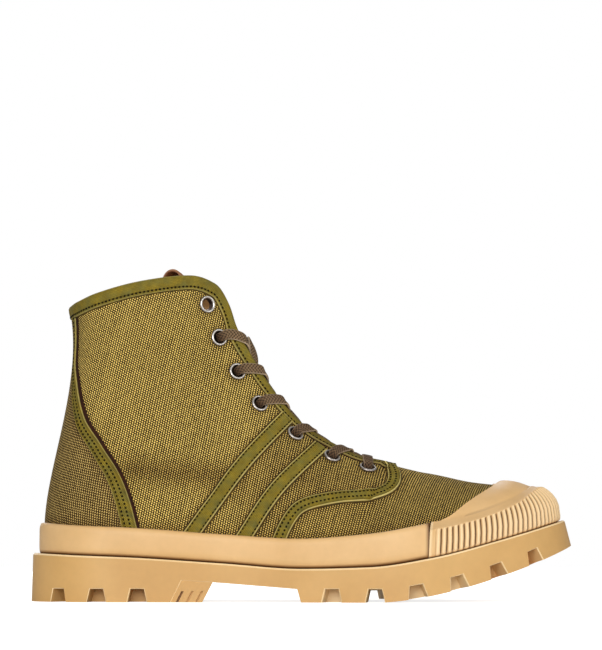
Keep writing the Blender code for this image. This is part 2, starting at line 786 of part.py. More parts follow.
def make_badge(boot, rings=3, around=18):
    """A round leather patch on the medial ankle, bent to the upper."""
    thick = 1.6 * MM
    centre = on_side(MEDIAL, BADGE_CENTRE[0] * MM, BADGE_CENTRE[1] * MM)
    out = upper_normal(MEDIAL, *centre)
    level = np.cross(np.array([0, 0, 1]), out)
    level /= np.linalg.norm(level)
    upright = np.cross(out, level)
    turn = np.linspace(0, 2 * math.pi, around, endpoint=False)
    points, faces = [], []
    for lift in (GAP, GAP + thick):
        points.append(off_upper(MEDIAL, *centre, lift))
        for radius in np.linspace(0, BADGE_RADIUS, rings + 1)[1:]:
            for a in turn:
                at = walk(MEDIAL, centre, (level * math.cos(a) + upright * math.sin(a)) * radius)
                points.append(off_upper(MEDIAL, *at, lift))
    layer = 1 + rings * around
    for start in (0, layer):
        for c in range(around):
            n = (c + 1) % around
            faces.append((start, start + 1 + c, start + 1 + n))
            for r in range(rings - 1):
                a = start + 1 + r * around
                faces.append((a + c, a + around + c, a + around + n, a + n))
    rim = 1 + (rings - 1) * around
    for c in range(around):
        n = (c + 1) % around
        faces.append((rim + c, rim + n, layer + rim + n, layer + rim + c))
    add_object("badge", make_mesh("badge", points, faces), "leather", boot)


# Tongue and lace


def resample(points, count):
    """Even points along a line of many points."""
    points = np.asarray(points)
    length = np.concatenate([[0], np.cumsum(np.linalg.norm(np.diff(points, axis=0), axis=1))])
    at = np.linspace(0, length[-1], count)
    return np.stack([np.interp(at, length, points[:, k]) for k in range(3)], -1)


def throat_frame(along):
    """Edge points of both sides at a place of the throat, their middle and its outward direction."""
    edges = {side: upper_point(side, along, 1) for side in (LATERAL, MEDIAL)}
    out = sum(upper_normal(side, along, 0.99) for side in (LATERAL, MEDIAL))
    return edges, (edges[LATERAL] + edges[MEDIAL]) / 2, out / np.linalg.norm(out)


def tongue_section(row, count):
    """Front face of the tongue across one section: under one edge, over the gap and under the other edge."""
    along, reach, inset, recess = (row[name] for name in ("along", "reach", "inset", "recess"))
    _, middle, out = throat_frame(along)
    wings = {}
    for side in (LATERAL, MEDIAL):
        ups = np.linspace(edge_up(side, max(along, THROAT_START + 0.004), reach * MM), 1, 7)
        wings[side] = off_upper(side, along, ups, np.full(ups.shape, -inset * MM))
    start, end = wings[LATERAL][-1], wings[MEDIAL][-1]
    crest = middle - out * recess * MM
    t = np.linspace(0, 1, 9)[1:-1, None]
    bridge = start + (end - start) * t + (crest - (start + end) / 2) * 4 * t * (1 - t)
    line = np.concatenate([wings[LATERAL], bridge, wings[MEDIAL][::-1]])
    return resample(line, count) + np.array([row["shift_x"], 0, row["shift_z"]]) * MM


def grid_normals(grid):
    """Unit normals of a grid of points."""
    rows = np.gradient(grid, axis=0)
    columns = np.gradient(grid, axis=1)
    normal = np.cross(rows, columns)
    return normal / np.linalg.norm(normal, axis=-1, keepdims=True)


def make_tongue(boot, across=11):
    names = list(TONGUE_ROWS)
    rows = [dict(zip(names, values)) for values in zip(*TONGUE_ROWS.values())]
    front = np.array([tongue_section(row, across) for row in rows])
    normal = grid_normals(front)
    if normal[4, across // 2, 2] < 0:
        normal = -normal
    add_object("tongue", plate("tongue", front - normal * TONGUE_THICK, front), "lining", boot)
    make_tab(front[-1, across // 2] - normal[-1, across // 2] * TONGUE_THICK / 2, boot)


def make_tab(top, boot, turns=9):
    """A leather loop that stands on the tongue's top edge, open to the sides."""
    bow = np.linspace(0, math.pi, turns)
    outer = [(TAB_LENGTH / 2 * math.cos(a), TAB_HEIGHT * math.sin(a)) for a in bow]
    length, height = TAB_LENGTH / 2 - TAB_THICK, TAB_HEIGHT - 2 * TAB_THICK
    inner = [(length * math.cos(a), TAB_THICK + height * math.sin(a)) for a in bow]
    points = []
    for y in (-TAB_WIDTH / 2, TAB_WIDTH / 2):
        for x, z in outer + inner:
            points.append(top + np.array([x, y, z + 7 * GAP]))
    layer = 2 * turns
    faces = []
    for i in range(turns):
        n = (i + 1) % turns
        faces.append((i, n, layer + n, layer + i))
        faces.append((turns + i, turns + n, layer + turns + n, layer + turns + i))
        for start in (0, layer):
            faces.append((start + i, start + n, start + turns + n, start + turns + i))
    add_object("tongue_tab", make_mesh("tongue_tab", points, faces), "leather", boot)


def lace_row(side, at):
    """Eyelet point, nearest point of the throat edge, the way to it and the outward directions at both."""
    eye = upper_point(side, *at)
    places = np.linspace(THROAT_START + 0.006, 0.74, 240)
    edge = upper_point(side, places, 1)
    nearest = int(np.argmin(np.linalg.norm(edge - eye, axis=1)))
    way = edge[nearest] - eye
    return {
        "eye": eye,
        "edge": edge[nearest],
        "way": way / np.linalg.norm(way),
        "run": np.linalg.norm(way),
        "out_eye": upper_normal(side, *at),
        "out_edge": upper_normal(side, places[nearest], 0.99),
    }


def strand(points, outs):
    """A flat strand along a few points, lying across their outward directions."""
    points, outs = np.asarray(points), np.asarray(outs)
    tangent = np.gradient(points, axis=0)
    tangent /= np.linalg.norm(tangent, axis=1, keepdims=True)
    wide = np.cross(tangent, outs)
    wide /= np.linalg.norm(wide, axis=1, keepdims=True)
    thick = np.cross(wide, tangent)
    corners = ((-0.5, -0.5), (0.5, -0.5), (0.5, 0.5), (-0.5, 0.5))
    rings = [points + wide * a * LACE_WIDTH + thick * b * LACE_THICK for a, b in corners]
    grid = np.stack(rings, 1)
    around = len(corners)
    faces = ring_faces(len(points), around)
    faces += [tuple(range(around))[::-1], tuple(range((len(points) - 1) * around, len(points) * around))]
    return grid.reshape(-1, 3), faces


def over_edge(row, middle, out):
    """A strand's way from an eyelet's flange over the binding and into the gap."""
    start = row["eye"] + row["way"] * row["run"] * LACE_START + row["out_eye"] * LACE_LIFT
    over = row["edge"] - row["way"] * row["run"] * LACE_OVER + row["out_edge"] * LACE_LIFT
    corner = row["edge"] + unit(row["out_edge"] + out) * LACE_CORNER
    past = row["edge"] + unit(middle - row["edge"]) * LACE_PAST + out * LACE_DIP
    return [start, over, corner, past]


def make_lace(boot):
    """Crossed strands over the tongue, a piece for each pair of rows, and the bar across the lowest row."""
    rows = {side: [lace_row(side, at) for at in eyelet_places(side)] for side in (LATERAL, MEDIAL)}
    for k in range(1, 6):
        solids = []
        for side in (LATERAL, MEDIAL):
            begin, end = rows[side][k], rows[-side][k + 1]
            middle = (begin["edge"] + end["edge"]) / 2
            out = unit(begin["out_edge"] + end["out_edge"])
            points = over_edge(begin, middle, out)
            points += [middle + out * LACE_MIDDLE, end["edge"] + unit(middle - end["edge"]) * LACE_END]
            outs = [begin["out_eye"], begin["out_edge"], unit(begin["out_edge"] + out), out, out, out]
            solids.append(strand(points, outs))
        name, under_name = f"lace_cross_{k}", f"lace_under_{k}"
        cross = add_object(name, make_mesh(name, *solids[0]), "lace", boot)
        under = add_object(under_name, make_mesh(under_name, *solids[1]), "lace", boot)
        boolean(cross, under, "UNION")
    low = [rows[side][6] for side in (LATERAL, MEDIAL)]
    middle = (low[0]["edge"] + low[1]["edge"]) / 2
    out = unit(low[0]["out_edge"] + low[1]["out_edge"])
    ends = [over_edge(row, middle, out)[:3] for row in low]
    points = ends[0] + [middle + out * LACE_LIFT] + ends[1][::-1]
    outs = [[row["out_eye"], row["out_edge"], unit(row["out_edge"] + out)] for row in low]
    solid = strand(points, outs[0] + [out] + outs[1][::-1])
    add_object("lace_bar", make_mesh("lace_bar", *solid), "lace", boot)


# The sole and the toe cap


def up_at(side, along, z):
    """How far up its column the outer face reaches a height."""
    ups = np.linspace(0, 0.7, 141)
    heights = upper_point(side, along, ups)[:, 2]
    return float(np.interp(z, np.maximum.accumulate(heights) + ups * 1e-9, ups))


def rim_up(side, along):
    """How far up its column the tapes start, just above the midsole's rim."""
    up = 0.15
    for _ in range(3):
        up = up_at(side, along, float(rim_z(upper_point(side, along, up)[0])) + 1.5 * GAP)
    return up


def plan_point(side, along, margin):
    """Point in plan at a distance outside the last's edge."""
    plan, out = last_plan(side, along)
    return plan + out * margin


SOLE_ALONG = np.sort(np.append(UPPER_ALONG, CAP_END - 0.001))
CAP_SPAN = CAP_END - 0.0027  # the cap stops just short of the midsole's end


def make_midsole(boot):
    """A shallow cup: a web under the foot and a rim round it, low inside the toe cap."""
    sections = []
    for side, along in zip(*loop_places(SOLE_ALONG)):
        plan, out = last_plan(side, along)
        web = floor_z(plan[0])
        in_cap = along < CAP_END - 0.0005
        top = web + TOE_LIP if in_cap else float(rim_z(plan[0]))
        up = up_at(side, along, top)
        section = []
        reach = float(read(MARGINS, "midsole", along)) * MM
        for height, margin in zip(MIDSOLE_SIDE["height"], MIDSOLE_SIDE["margin"]):
            x, y = plan + out * (TOE_LIP_MARGIN if in_cap else reach * margin)
            bottom = ledge_z(x) + GAP
            section.append([x, y, bottom + (top - bottom) * height])
        clear = FACE_GAP if along != CAP_END else 5 * FACE_GAP
        section.append(off_upper(side, along, up, clear))
        section.append(off_upper(side, along, up / 2, clear))
        section.append([*(plan + out * FACE_GAP), web])
        sections.append(section)
    sections = np.array(sections)
    around, size = sections.shape[:2]
    points = sections.reshape(-1, 3)
    faces = []
    for i in range(around):
        n = (i + 1) % around
        for k in range(size - 1):
            faces.append((i * size + k, i * size + k + 1, n * size + k + 1, n * size + k))
    faces += across_faces([i * size for i in range(around)])
    faces += across_faces([i * size + size - 1 for i in range(around)])
    add_object("midsole", make_mesh("midsole", points, faces), "rubber", boot)


def make_insole(boot):
    """A footbed inside the upper, on the midsole's web."""
    rings = []
    for lift in (GAP, GAP + INSOLE):
        for side, along in zip(*loop_places(UPPER_ALONG)):
            x, y = plan_point(side, along, -(WALL + 2 * GAP))
            rings.append((x, y, floor_z(x) + lift))
    around = len(rings) // 2
    faces = ring_faces(2, around) + across_faces(list(range(around)))
    faces += across_faces(list(range(around, 2 * around)))
    add_object("insole", make_mesh("insole", rings, faces), "lining", boot)


def prism(profile, near, far):
    """A closed prism between two end faces given by functions of the profile's points."""
    count = len(profile)
    points = [near(*p) for p in profile] + [far(*p) for p in profile]
    faces = [tuple(range(count)), tuple(range(2 * count - 1, count - 1, -1))]
    faces += [(i, (i + 1) % count, count + (i + 1) % count, count + i) for i in range(count)]
    return points, faces


def join_solids(name, solids):
    """Several closed solids as one mesh."""
    points, faces = [], []
    for part_points, part_faces in solids:
        faces += [tuple(i + len(points) for i in face) for face in part_faces]
        points += [tuple(p) for p in part_points]
    return make_mesh(name, points, faces)


OUTSOLE_ALONG = np.linspace(0, 1, 31)
BOTTOM_EDGE = {}
for edge_side in (LATERAL, MEDIAL):
    edge_margin = read(MARGINS, "outsole_bottom", OUTSOLE_ALONG)[:, None] * MM
    BOTTOM_EDGE[edge_side] = plan_point(edge_side, OUTSOLE_ALONG, edge_margin)


def bottom_y(side, x):
    """Edge of the outsole's underside at a place along the boot."""
    line = BOTTOM_EDGE[side][::-1]
    return float(np.interp(x, line[:, 0], line[:, 1]))


def notch(side, x, depth):
    """Cutter for one notch of the tread, square to the outline and to the slope of the ground there."""
    line = BOTTOM_EDGE[side]
    along = float(np.interp(x, line[::-1, 0], OUTSOLE_ALONG[::-1]))
    _, out = last_plan(side, along)
    out = np.array([*out, 0])
    slope = float(ground_z(x + MM) - ground_z(x - MM)) / (2 * MM)
    forward = np.array([-out[1] * side, out[0] * side, 0]) * -1
    forward[2] = slope * forward[0]
    forward /= np.linalg.norm(forward)
    upward = np.cross(forward, -out * side)
    upward *= math.copysign(1, upward[2])
    foot = np.array([x, bottom_y(side, x), float(ground_z(x))])
    flare = (NOTCH_BOTTOM - NOTCH_TOP) / 2 / NOTCH_HEIGHT
    low = -1.5 * MM
    half_low, half_top = NOTCH_BOTTOM / 2 - flare * low, NOTCH_TOP / 2
    profile = ((-half_low, low), (half_low, low), (half_top, NOTCH_HEIGHT), (-half_top, NOTCH_HEIGHT))
    return prism(
        profile,
        lambda a, b: foot + forward * a + upward * b + out * 6 * MM,
        lambda a, b: foot + forward * a + upward * b - out * depth,
    )


def hollow(start, end, stations=7):
    """Cutter for one hollow of the underside, inside the border of lugs."""
    rings = []
    for x in np.linspace(start * MM, end * MM, stations):
        ys = [bottom_y(side, x) - side * HOLLOW_BORDER for side in (LATERAL, MEDIAL)]
        low, high = -4 * MM, float(ground_z(x)) + HOLLOW_DEPTH
        rings += [(x, ys[0], low), (x, ys[1], low), (x, ys[1], high), (x, ys[0], high)]
    last = 4 * (stations - 1)
    return rings, ring_faces(stations, 4) + [(0, 1, 2, 3), (last + 3, last + 2, last + 1, last)]


def lug(start, end, share):
    """One block of the middle of the tread."""
    rings = []
    for x in (start * MM, end * MM):
        ys = [bottom_y(side, x) - side * HOLLOW_BORDER for side in (LATERAL, MEDIAL)]
        middle, half = sum(ys) / 2, (ys[1] - ys[0]) / 2 * share
        ground = float(ground_z(x))
        for y, z in ((-half, ground), (half, ground), (half, ground + 8 * MM), (-half, ground + 8 * MM)):
            rings.append((x, middle + y, z))
    return rings, ring_faces(2, 4) + [(0, 1, 2, 3), (7, 6, 5, 4)]


def arch_cut():
    profile = [(x * MM, z * MM) for x, z in ARCH]
    return prism(profile, lambda x, z: (x, -80 * MM, z), lambda x, z: (x, 80 * MM, z))


def grip_slot(x):
    """One of the slanted slots at the lateral end of the heel."""
    lean = (ARCH[1][0] - ARCH[0][0]) / (ARCH[1][1] - ARCH[0][1])
    edge = bottom_y(LATERAL, x * MM)
    half = GRIP_WIDTH / 2
    corners = ((-half, GRIP_LOW), (half, GRIP_LOW), (half, GRIP_HIGH), (-half, GRIP_HIGH))
    profile = [(a + lean * z, z) for a, z in corners]
    return prism(
        profile,
        lambda a, z: (x * MM + a, edge - 4 * MM, z),
        lambda a, z: (x * MM + a, edge + GRIP_DEPTH, z),
    )


def make_outsole(boot):
    """The lugged outsole: its outline swept from the ground to the ledge, then cut."""
    sides, along = loop_places(OUTSOLE_ALONG)
    rings = []
    for column, height in (("outsole_bottom", ground_z), ("outsole_top", ledge_z)):
        for side, place in zip(sides, along):
            x, y = plan_point(side, place, float(read(MARGINS, column, place)) * MM)
            rings.append((x, y, float(height(x))))
    around = len(sides)
    faces = ring_faces(2, around) + across_faces(list(range(around)))
    faces += across_faces(list(range(around, 2 * around)))
    outsole = add_object("outsole", make_mesh("outsole", rings, faces), "rubber", boot)
    cuts = [arch_cut()]
    for side in (LATERAL, MEDIAL):
        cuts += [notch(side, x * MM, depth * MM) for x, depth in zip(NOTCHES["x"], NOTCHES["depth"])]
    steps = (
        ("hollows", [hollow(*ends) for ends in HOLLOWS], "DIFFERENCE"),
        ("middle_lugs", [lug(*row) for row in zip(*LUGS.values())], "UNION"),
        ("side_cuts", cuts, "DIFFERENCE"),
        ("grip_slots", [grip_slot(x) for x in GRIP_SLOTS], "DIFFERENCE"),
    )
    for name, solids, operation in steps:
        boolean(outsole, add_object(name, join_solids(name, solids), "rubber", boot), operation)


def cap_places(row, shares):
    """Sides and places along the last of a row of the toe cap, from its lateral end round to the medial."""
    return np.where(shares <= 0, LATERAL, MEDIAL), np.abs(shares) * row


def cap_plan_row(shares, margin, rise):
    """A row of the cap near the ledge: points out from the last's edge in plan, above the ledge."""
    points = []
    for side, along, reach in zip(*cap_places(CAP_SPAN, shares), margin):
        x, y = plan_point(side, along, reach)
        points.append((x, y, float(ledge_z(x)) + rise))
    return np.array(points)


def cap_face_row(shares, end, up_of, offset):
    """A row of the cap on the last: points off its face."""
    sides, along = cap_places(end, shares)
    return off_upper(sides, along, up_of(along), offset)


def make_toe_cap(boot, coarse=20, fine_per=9):
    """The rubber toe: a ribbed band on the ledge and a smooth dome over the canvas."""
    wide = np.linspace(-1, 1, coarse + 1)
    ribbed = np.linspace(-1, 1, coarse * fine_per + 1)
    rib = np.where(np.arange(len(ribbed)) % 3 == 0, 0, RIB_HEIGHT)

    def face(column, shares, end=CAP_SPAN):
        return read(CAP_FACE, column, np.abs(shares) * end) * MM

    def line(column, share=1.0):
        return lambda along: read(CAP_LINES, column, along) * share

    def dome(over):
        return lambda along: read(CAP_LINES, "crease", along) * (1 - over) + over

    overs = np.array([0.0, 0.10, 0.28, 0.52, 0.76, 1.0])
    ends = read(CAP_BACK, "along", overs, "over")
    outer = [
        cap_plan_row(wide, face("foot", wide), GAP),
        cap_plan_row(ribbed, face("foot", ribbed) - RIB_HEIGHT + rib, 1.6 * MM),
        cap_face_row(ribbed, CAP_SPAN, line("band_top", 0.5), face("ribs", ribbed) - RIB_HEIGHT + rib),
        cap_face_row(ribbed, CAP_SPAN, line("band_top", 0.9), face("shoulder", ribbed) - RIB_HEIGHT + rib),
        cap_face_row(wide, CAP_SPAN, line("band_top"), face("shoulder", wide)),
    ]
    inner = [
        cap_plan_row(wide, np.full(wide.shape, TOE_LIP_MARGIN + 1.5 * GAP), GAP),
        cap_plan_row(wide, np.full(wide.shape, TOE_LIP_MARGIN + 1.5 * GAP), FLOOR + TOE_LIP + 3 * GAP),
    ]
    for share in (0.4, 0.6, 0.8, 1.0):
        inner.append(cap_face_row(wide, CAP_SPAN, line("band_top", share), np.full(wide.shape, CAP_GAP)))
    for over, end in zip(overs, ends):
        stand = face("dome", wide, end) if over else face("crease", wide, end)
        outer.append(cap_face_row(wide, end, dome(over), stand))
        inner.append(cap_face_row(wide, end, dome(over), np.full(wide.shape, CAP_GAP)))
    points, faces, starts = [], [], []
    for row in outer + inner:
        starts.append(len(points))
        points += list(row)
    rows = outer + inner

    def between(a, b, flip):
        """Faces between two rows, of which one may have more points."""
        for c in range(coarse):
            lower, higher = [], []
            for bucket, r in ((lower, a), (higher, b)):
                step = (len(rows[r]) - 1) // coarse
                bucket += [starts[r] + c * step + k for k in range(step + 1)]
            if len(lower) == len(higher):
                quads = [(lower[k], lower[k + 1], higher[k + 1], higher[k]) for k in range(len(lower) - 1)]
            else:
                quads = [tuple(lower + higher[::-1])]
            faces.extend(quad[::-1] if flip else quad for quad in quads)

    for r in range(len(outer) - 1):
        between(r, r + 1, False)
    first = len(outer)
    for r in range(len(inner) - 1):
        between(first + r, first + r + 1, True)
    between(first, 0, False)
    outer_left = [starts[r] for r in range(len(outer))]
    outer_right = [starts[r] + len(outer[r]) - 1 for r in range(len(outer))]
    inner_left = [starts[first + r] for r in range(len(inner))]
    inner_right = [starts[first + r] + coarse for r in range(len(inner))]
    same = len(overs) + 1
    for out_line, in_line in ((outer_left, inner_left), (outer_right, inner_right)):
        faces.append(tuple(out_line[: -same + 1] + in_line[: -same + 1][::-1]))
        for k in range(-same, -1):
            faces.append((out_line[k], out_line[k + 1], in_line[k + 1], in_line[k]))
    add_object("toe_cap", make_mesh("toe_cap", points, faces), "rubber", boot)


def main():
    clear_scene()
    boot = bpy.data.objects.new("boot", None)
    bpy.context.scene.collection.objects.link(boot)
    make_outsole(boot)
    make_midsole(boot)
    make_insole(boot)
    make_upper(boot)
    make_toe_cap(boot)
    make_tongue(boot)
    make_tapes(boot)
    make_counter(boot)
    make_binding(boot)
    make_badge(boot)
    make_eyelets(boot)
    make_lace(boot)
    toe, heel = BOTTOM_EDGE[LATERAL][0], BOTTOM_EDGE[LATERAL][-1]
    boot.location.x = -(toe[0] + heel[0]) / 2


main()
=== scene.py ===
import math

import bmesh
import bpy
import numpy as np
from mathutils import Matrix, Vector, kdtree


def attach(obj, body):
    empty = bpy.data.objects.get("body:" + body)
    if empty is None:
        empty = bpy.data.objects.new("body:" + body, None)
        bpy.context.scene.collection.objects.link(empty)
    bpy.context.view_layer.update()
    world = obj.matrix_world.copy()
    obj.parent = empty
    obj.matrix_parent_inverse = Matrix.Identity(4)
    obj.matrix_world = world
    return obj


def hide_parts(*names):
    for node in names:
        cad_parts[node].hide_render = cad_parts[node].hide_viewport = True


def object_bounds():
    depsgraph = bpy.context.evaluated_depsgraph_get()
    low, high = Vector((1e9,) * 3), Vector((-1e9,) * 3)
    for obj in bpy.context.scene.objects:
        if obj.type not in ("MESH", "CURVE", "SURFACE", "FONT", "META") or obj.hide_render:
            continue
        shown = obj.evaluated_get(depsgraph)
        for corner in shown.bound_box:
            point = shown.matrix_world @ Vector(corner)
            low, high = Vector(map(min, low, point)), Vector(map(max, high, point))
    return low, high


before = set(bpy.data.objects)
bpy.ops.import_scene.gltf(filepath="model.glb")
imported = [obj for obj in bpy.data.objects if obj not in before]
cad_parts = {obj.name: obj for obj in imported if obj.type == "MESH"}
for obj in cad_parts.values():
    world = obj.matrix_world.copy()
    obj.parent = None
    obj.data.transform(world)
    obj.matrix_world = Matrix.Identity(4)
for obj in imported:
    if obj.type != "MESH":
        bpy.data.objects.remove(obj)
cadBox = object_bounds()
print("frame loaded:", len(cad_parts), "nodes")

# The boot is worked out in millimetres and made in metres. The toe points to +X, the medial side to +Y.
mm = 0.001
lateral, medial = -1, 1
sideNames = {lateral: "lateral", medial: "medial"}


def rows(columns, *values):
    return dict(zip(columns.split(), np.array(values, float).T))


# The last, as the solids have it
last = dict(
    length=272.5,
    ballWidth=91.5,
    heelX=-137.25,
    heelRound=0.13,
    heelPower=2.1,
    toeRound=0.30,
    toePower=2.25,
    throatStart=0.42,  # share of the side, toe to heel, where the throat opens
    wall=1.8,
    ridge=dict(lean=6, start=-20, run=130, power=1.6),  # how the vamp's ridge leans to the medial side
    outline=rows(
        "along centre half",
        (0.00, 0.000, 0.325),
        (0.12, 0.000, 0.335),
        (0.25, -0.005, 0.347),
        (0.42, -0.035, 0.352),
        (0.55, -0.045, 0.405),
        (0.66, -0.033, 0.475),
        (0.74, -0.008, 0.500),
        (0.83, 0.025, 0.490),
        (1.00, 0.085, 0.470),
    ),
    topLine=rows(
        "along x y z",
        (0.000, 112, 0, 61.0),
        (0.100, 105, 0, 62.7),
        (0.200, 92, 0, 64.4),
        (0.300, 74, 0, 68.3),
        (0.380, 57, 0, 71.8),
        (0.420, 48, 0, 73.8),
        (0.435, 43.5, 6, 74.6),
        (0.470, 33.5, 8.5, 76.4),
        (0.520, 16.5, 9.5, 83.9),
        (0.570, -1, 10.5, 95.3),
        (0.610, -15.5, 11, 111.9),
        (0.660, -27.5, 11.5, 130.6),
        (0.700, -35.9, 12, 146.9),
        (0.725, -39.8, 13, 158.5),
        (0.750, -46.5, 16.5, 168.8),
        (0.790, -59, 24, 172.5),
        (0.850, -85, 31, 168.9),
        (0.920, -110, 25.5, 162.7),
        (0.965, -121.5, 14, 158.8),
        (1.000, -125.6, 0, 158.0),
    ),
    walls=rows(
        "along rise flare crownX crownY crownZ",
        (0.00, 11, 4.0, 17, 0, 0),
        (0.12, 12, 4.0, 10, 15, 0),
        (0.25, 15, 3.5, 2, 23, 0),
        (0.38, 18, 3.0, 0, 21, -2),
        (0.44, 22, 2.5, 0, 20, -5),
        (0.52, 28, 2.5, -2, 20, -10),
        (0.57, 32, 2.5, -3, 19, -14),
        (0.61, 36, 2.5, -6, 16, -23),
        (0.70, 40, 2.5, -12, 12, -36),
        (0.75, 40, 3.0, -8, 9, -44),
        (0.85, 38, 3.5, 0, -2, -45),
        (1.00, 32, 7.0, 9, 0, -45),
    ),
)

# Heights and margins that the pieces of the sole share
sole = dict(
    gap=0.35,
    web=1.8,
    springStart=40,
    springRun=106,
    springRise=29.5,
    springPower=1.6,
    side=rows(
        "x ledge rim",
        (-146, 26.0, 43.2),
        (-120, 24.6, 40.6),
        (-90, 23.4, 39.2),
        (-40, 20.2, 35.6),
        (0, 17.5, 33.4),
        (36, 18.4, 35.9),
        (68, 23.1, 41.8),
        (105, 32.5, 51.0),
        (146, 44.5, 62.0),
    ),
    margins=rows(
        "along outsoleBottom outsoleTop midsole",
        (0.00, 12.0, 8.6, 6.5),
        (0.15, 10.0, 8.3, 6.5),
        (0.30, 8.8, 8.0, 6.5),
        (0.50, 8.4, 7.7, 6.5),
        (0.85, 8.4, 7.7, 6.5),
        (1.00, 8.5, 7.9, 4.4),
    ),
)

# Soft troughs, and ridges where the depth is below zero, along lines of the side view
creases = rows(
    "side x1 z1 x2 z2 width depth",
    (lateral, -94, 62, -48, 59, 8, 2.2),
    (lateral, -98, 79, -48, 78, 8, -2.2),
    (lateral, -88, 130, -62, 118, 10, 0.8),
    (lateral, -104, 112, -84, 120, 8, 0.7),
    (lateral, 30, 44, 60, 58, 6, 0.7),
    (lateral, 48, 62, 66, 66, 5, 0.6),
    (medial, -92, 62, -50, 60, 8, 1.8),
    (medial, -96, 80, -50, 79, 8, -1.8),
    (medial, -84, 136, -60, 126, 10, 0.8),
    (medial, 28, 45, 60, 57, 6, 0.7),
    (medial, 46, 62, 64, 66, 5, 0.6),
)

# Painted shade along lines of the side view: in the folds, and broad patches between and ahead of the bands
# and over the vamp
paintedShadeLines = rows(
    "side x1 z1 x2 z2 width amount",
    (lateral, -90, 70.5, -46, 67, 6.5, 0.62),
    (lateral, -30, 62, -8, 80, 10, 0.36),
    (lateral, 2, 66, 26, 68, 8, 0.3),
    (lateral, -12, 45, -2, 62, 20, 0.24),
    (lateral, 34, 42, 110, 62, 30, 0.46),
    (medial, -88, 70.5, -48, 69, 6.5, 0.45),
    (medial, 34, 42, 110, 62, 30, 0.4),
    (medial, 2, 66, 26, 68, 8, 0.25),
)


def smooth(at, knots, values):  # a cubic through the rows that never overshoots between them
    step = np.diff(knots)
    slope = np.diff(values) / step
    tangent = np.concatenate([slope[:1], np.zeros(len(knots) - 2), slope[-1:]])
    sameWay = slope[:-1] * slope[1:] > 0
    weightA, weightB = 2 * step[1:] + step[:-1], step[1:] + 2 * step[:-1]
    with np.errstate(divide="ignore", invalid="ignore"):
        mean = (weightA + weightB) / (weightA / slope[:-1] + weightB / slope[1:])
    tangent[1:-1] = np.where(sameWay, mean, 0)
    at = np.clip(at, knots[0], knots[-1])
    i = np.clip(np.searchsorted(knots, at, side="right") - 1, 0, len(knots) - 2)
    t = (at - knots[i]) / step[i]
    start = values[i] * (1 + 2 * t) + tangent[i] * step[i] * t
    end = values[i + 1] * (3 - 2 * t) + tangent[i + 1] * step[i] * (t - 1)
    return start * (1 - t) ** 2 + end * t * t


def read(table, column, at, key="along"):
    return smooth(np.asarray(at, float), table[key], table[column])


def unit(vectors):
    return vectors / np.linalg.norm(vectors, axis=-1, keepdims=True)


def ease(t):
    t = np.clip(t, 0, 1)
    return t * t * (3 - 2 * t)


def lengths(points):  # length run so far at each point of a line
    return np.concatenate([[0], np.cumsum(np.linalg.norm(np.diff(points, axis=0), axis=-1))])


def planLoop(count=720):
    turn = np.linspace(0, 2 * math.pi, count, endpoint=False)
    along = 0.5 + 0.5 * np.cos(turn)
    side = np.where(turn <= math.pi, lateral, medial)
    toe = np.clip((along - 1 + last["toeRound"]) / last["toeRound"], 0, 1)
    heel = np.clip((last["heelRound"] - along) / last["heelRound"], 0, 1)
    toe = (1 - toe ** last["toePower"]) ** (1 / last["toePower"])
    heel = (1 - heel ** last["heelPower"]) ** (1 / last["heelPower"])
    half = read(last["outline"], "half", along) * toe * heel
    y = (read(last["outline"], "centre", along) + side * half) * last["ballWidth"]
    points = np.stack([last["heelX"] + along * last["length"], y], -1)
    tangent = np.roll(points, -1, 0) - np.roll(points, 1, 0)
    normals = unit(np.stack([tangent[:, 1], -tangent[:, 0]], -1))
    if ((points - points.mean(0)) * normals).sum() < 0:
        normals = -normals
    return points, normals


planPoints, planNormals = planLoop()
centreY = -(planPoints[:, 1].max() + planPoints[:, 1].min()) / 2


def sideLine(side):
    half = len(planPoints) // 2
    order = np.arange(half + 1) * -side
    length = lengths(planPoints[order])
    return length / length[-1], planPoints[order] + [0, centreY], planNormals[order]


sideLines = {side: sideLine(side) for side in sideNames}


def lastPlan(side, along):  # point of the last's edge in plan, and its outward direction
    share, points, normals = sideLines[side]
    point = np.stack([np.interp(along, share, points[:, i]) for i in (0, 1)], -1)
    return point, unit(np.stack([np.interp(along, share, normals[:, i]) for i in (0, 1)], -1))


def planPoint(side, along, margin):
    point, out = lastPlan(side, along)
    return point + out * np.asarray(margin)[..., None]


def ledgeZ(x):
    return read(sole["side"], "ledge", x, "x")


def rimZ(x):
    return read(sole["side"], "rim", x, "x")


def groundZ(x):
    rise = np.clip((np.asarray(x, float) - sole["springStart"]) / sole["springRun"], 0, None)
    return sole["springRise"] * rise ** sole["springPower"]


def webZ(x):
    return ledgeZ(x) + sole["gap"] + sole["web"]


def ridgeY(x):
    ridge = last["ridge"]
    share = np.clip((np.asarray(x, float) - ridge["start"]) / ridge["run"], 0, 1)
    return centreY + ridge["lean"] * share ** ridge["power"]


def oneSide(side, along, up):  # a cubic column from the last's edge to the top line
    along, up = np.broadcast_arrays(np.asarray(along, float), np.asarray(up, float))
    plan, out = lastPlan(side, along)
    foot = np.concatenate([plan, webZ(plan[..., :1]) + sole["gap"]], -1)
    x, y, z = (read(last["topLine"], name, along) for name in "xyz")
    top = np.stack([x, ridgeY(x) + side * y, z], -1)
    rise, flare = (read(last["walls"], name, along)[..., None] for name in ("rise", "flare"))
    low = foot + np.concatenate([out * flare, rise], -1)
    crown = [read(last["walls"], "crown" + name, along) for name in "XYZ"]
    high = top + np.stack([crown[0], side * crown[1], crown[2]], -1)
    t = up[..., None]
    return (1 - t) ** 3 * foot + 3 * (1 - t) ** 2 * t * low + 3 * (1 - t) * t**2 * high + t**3 * top


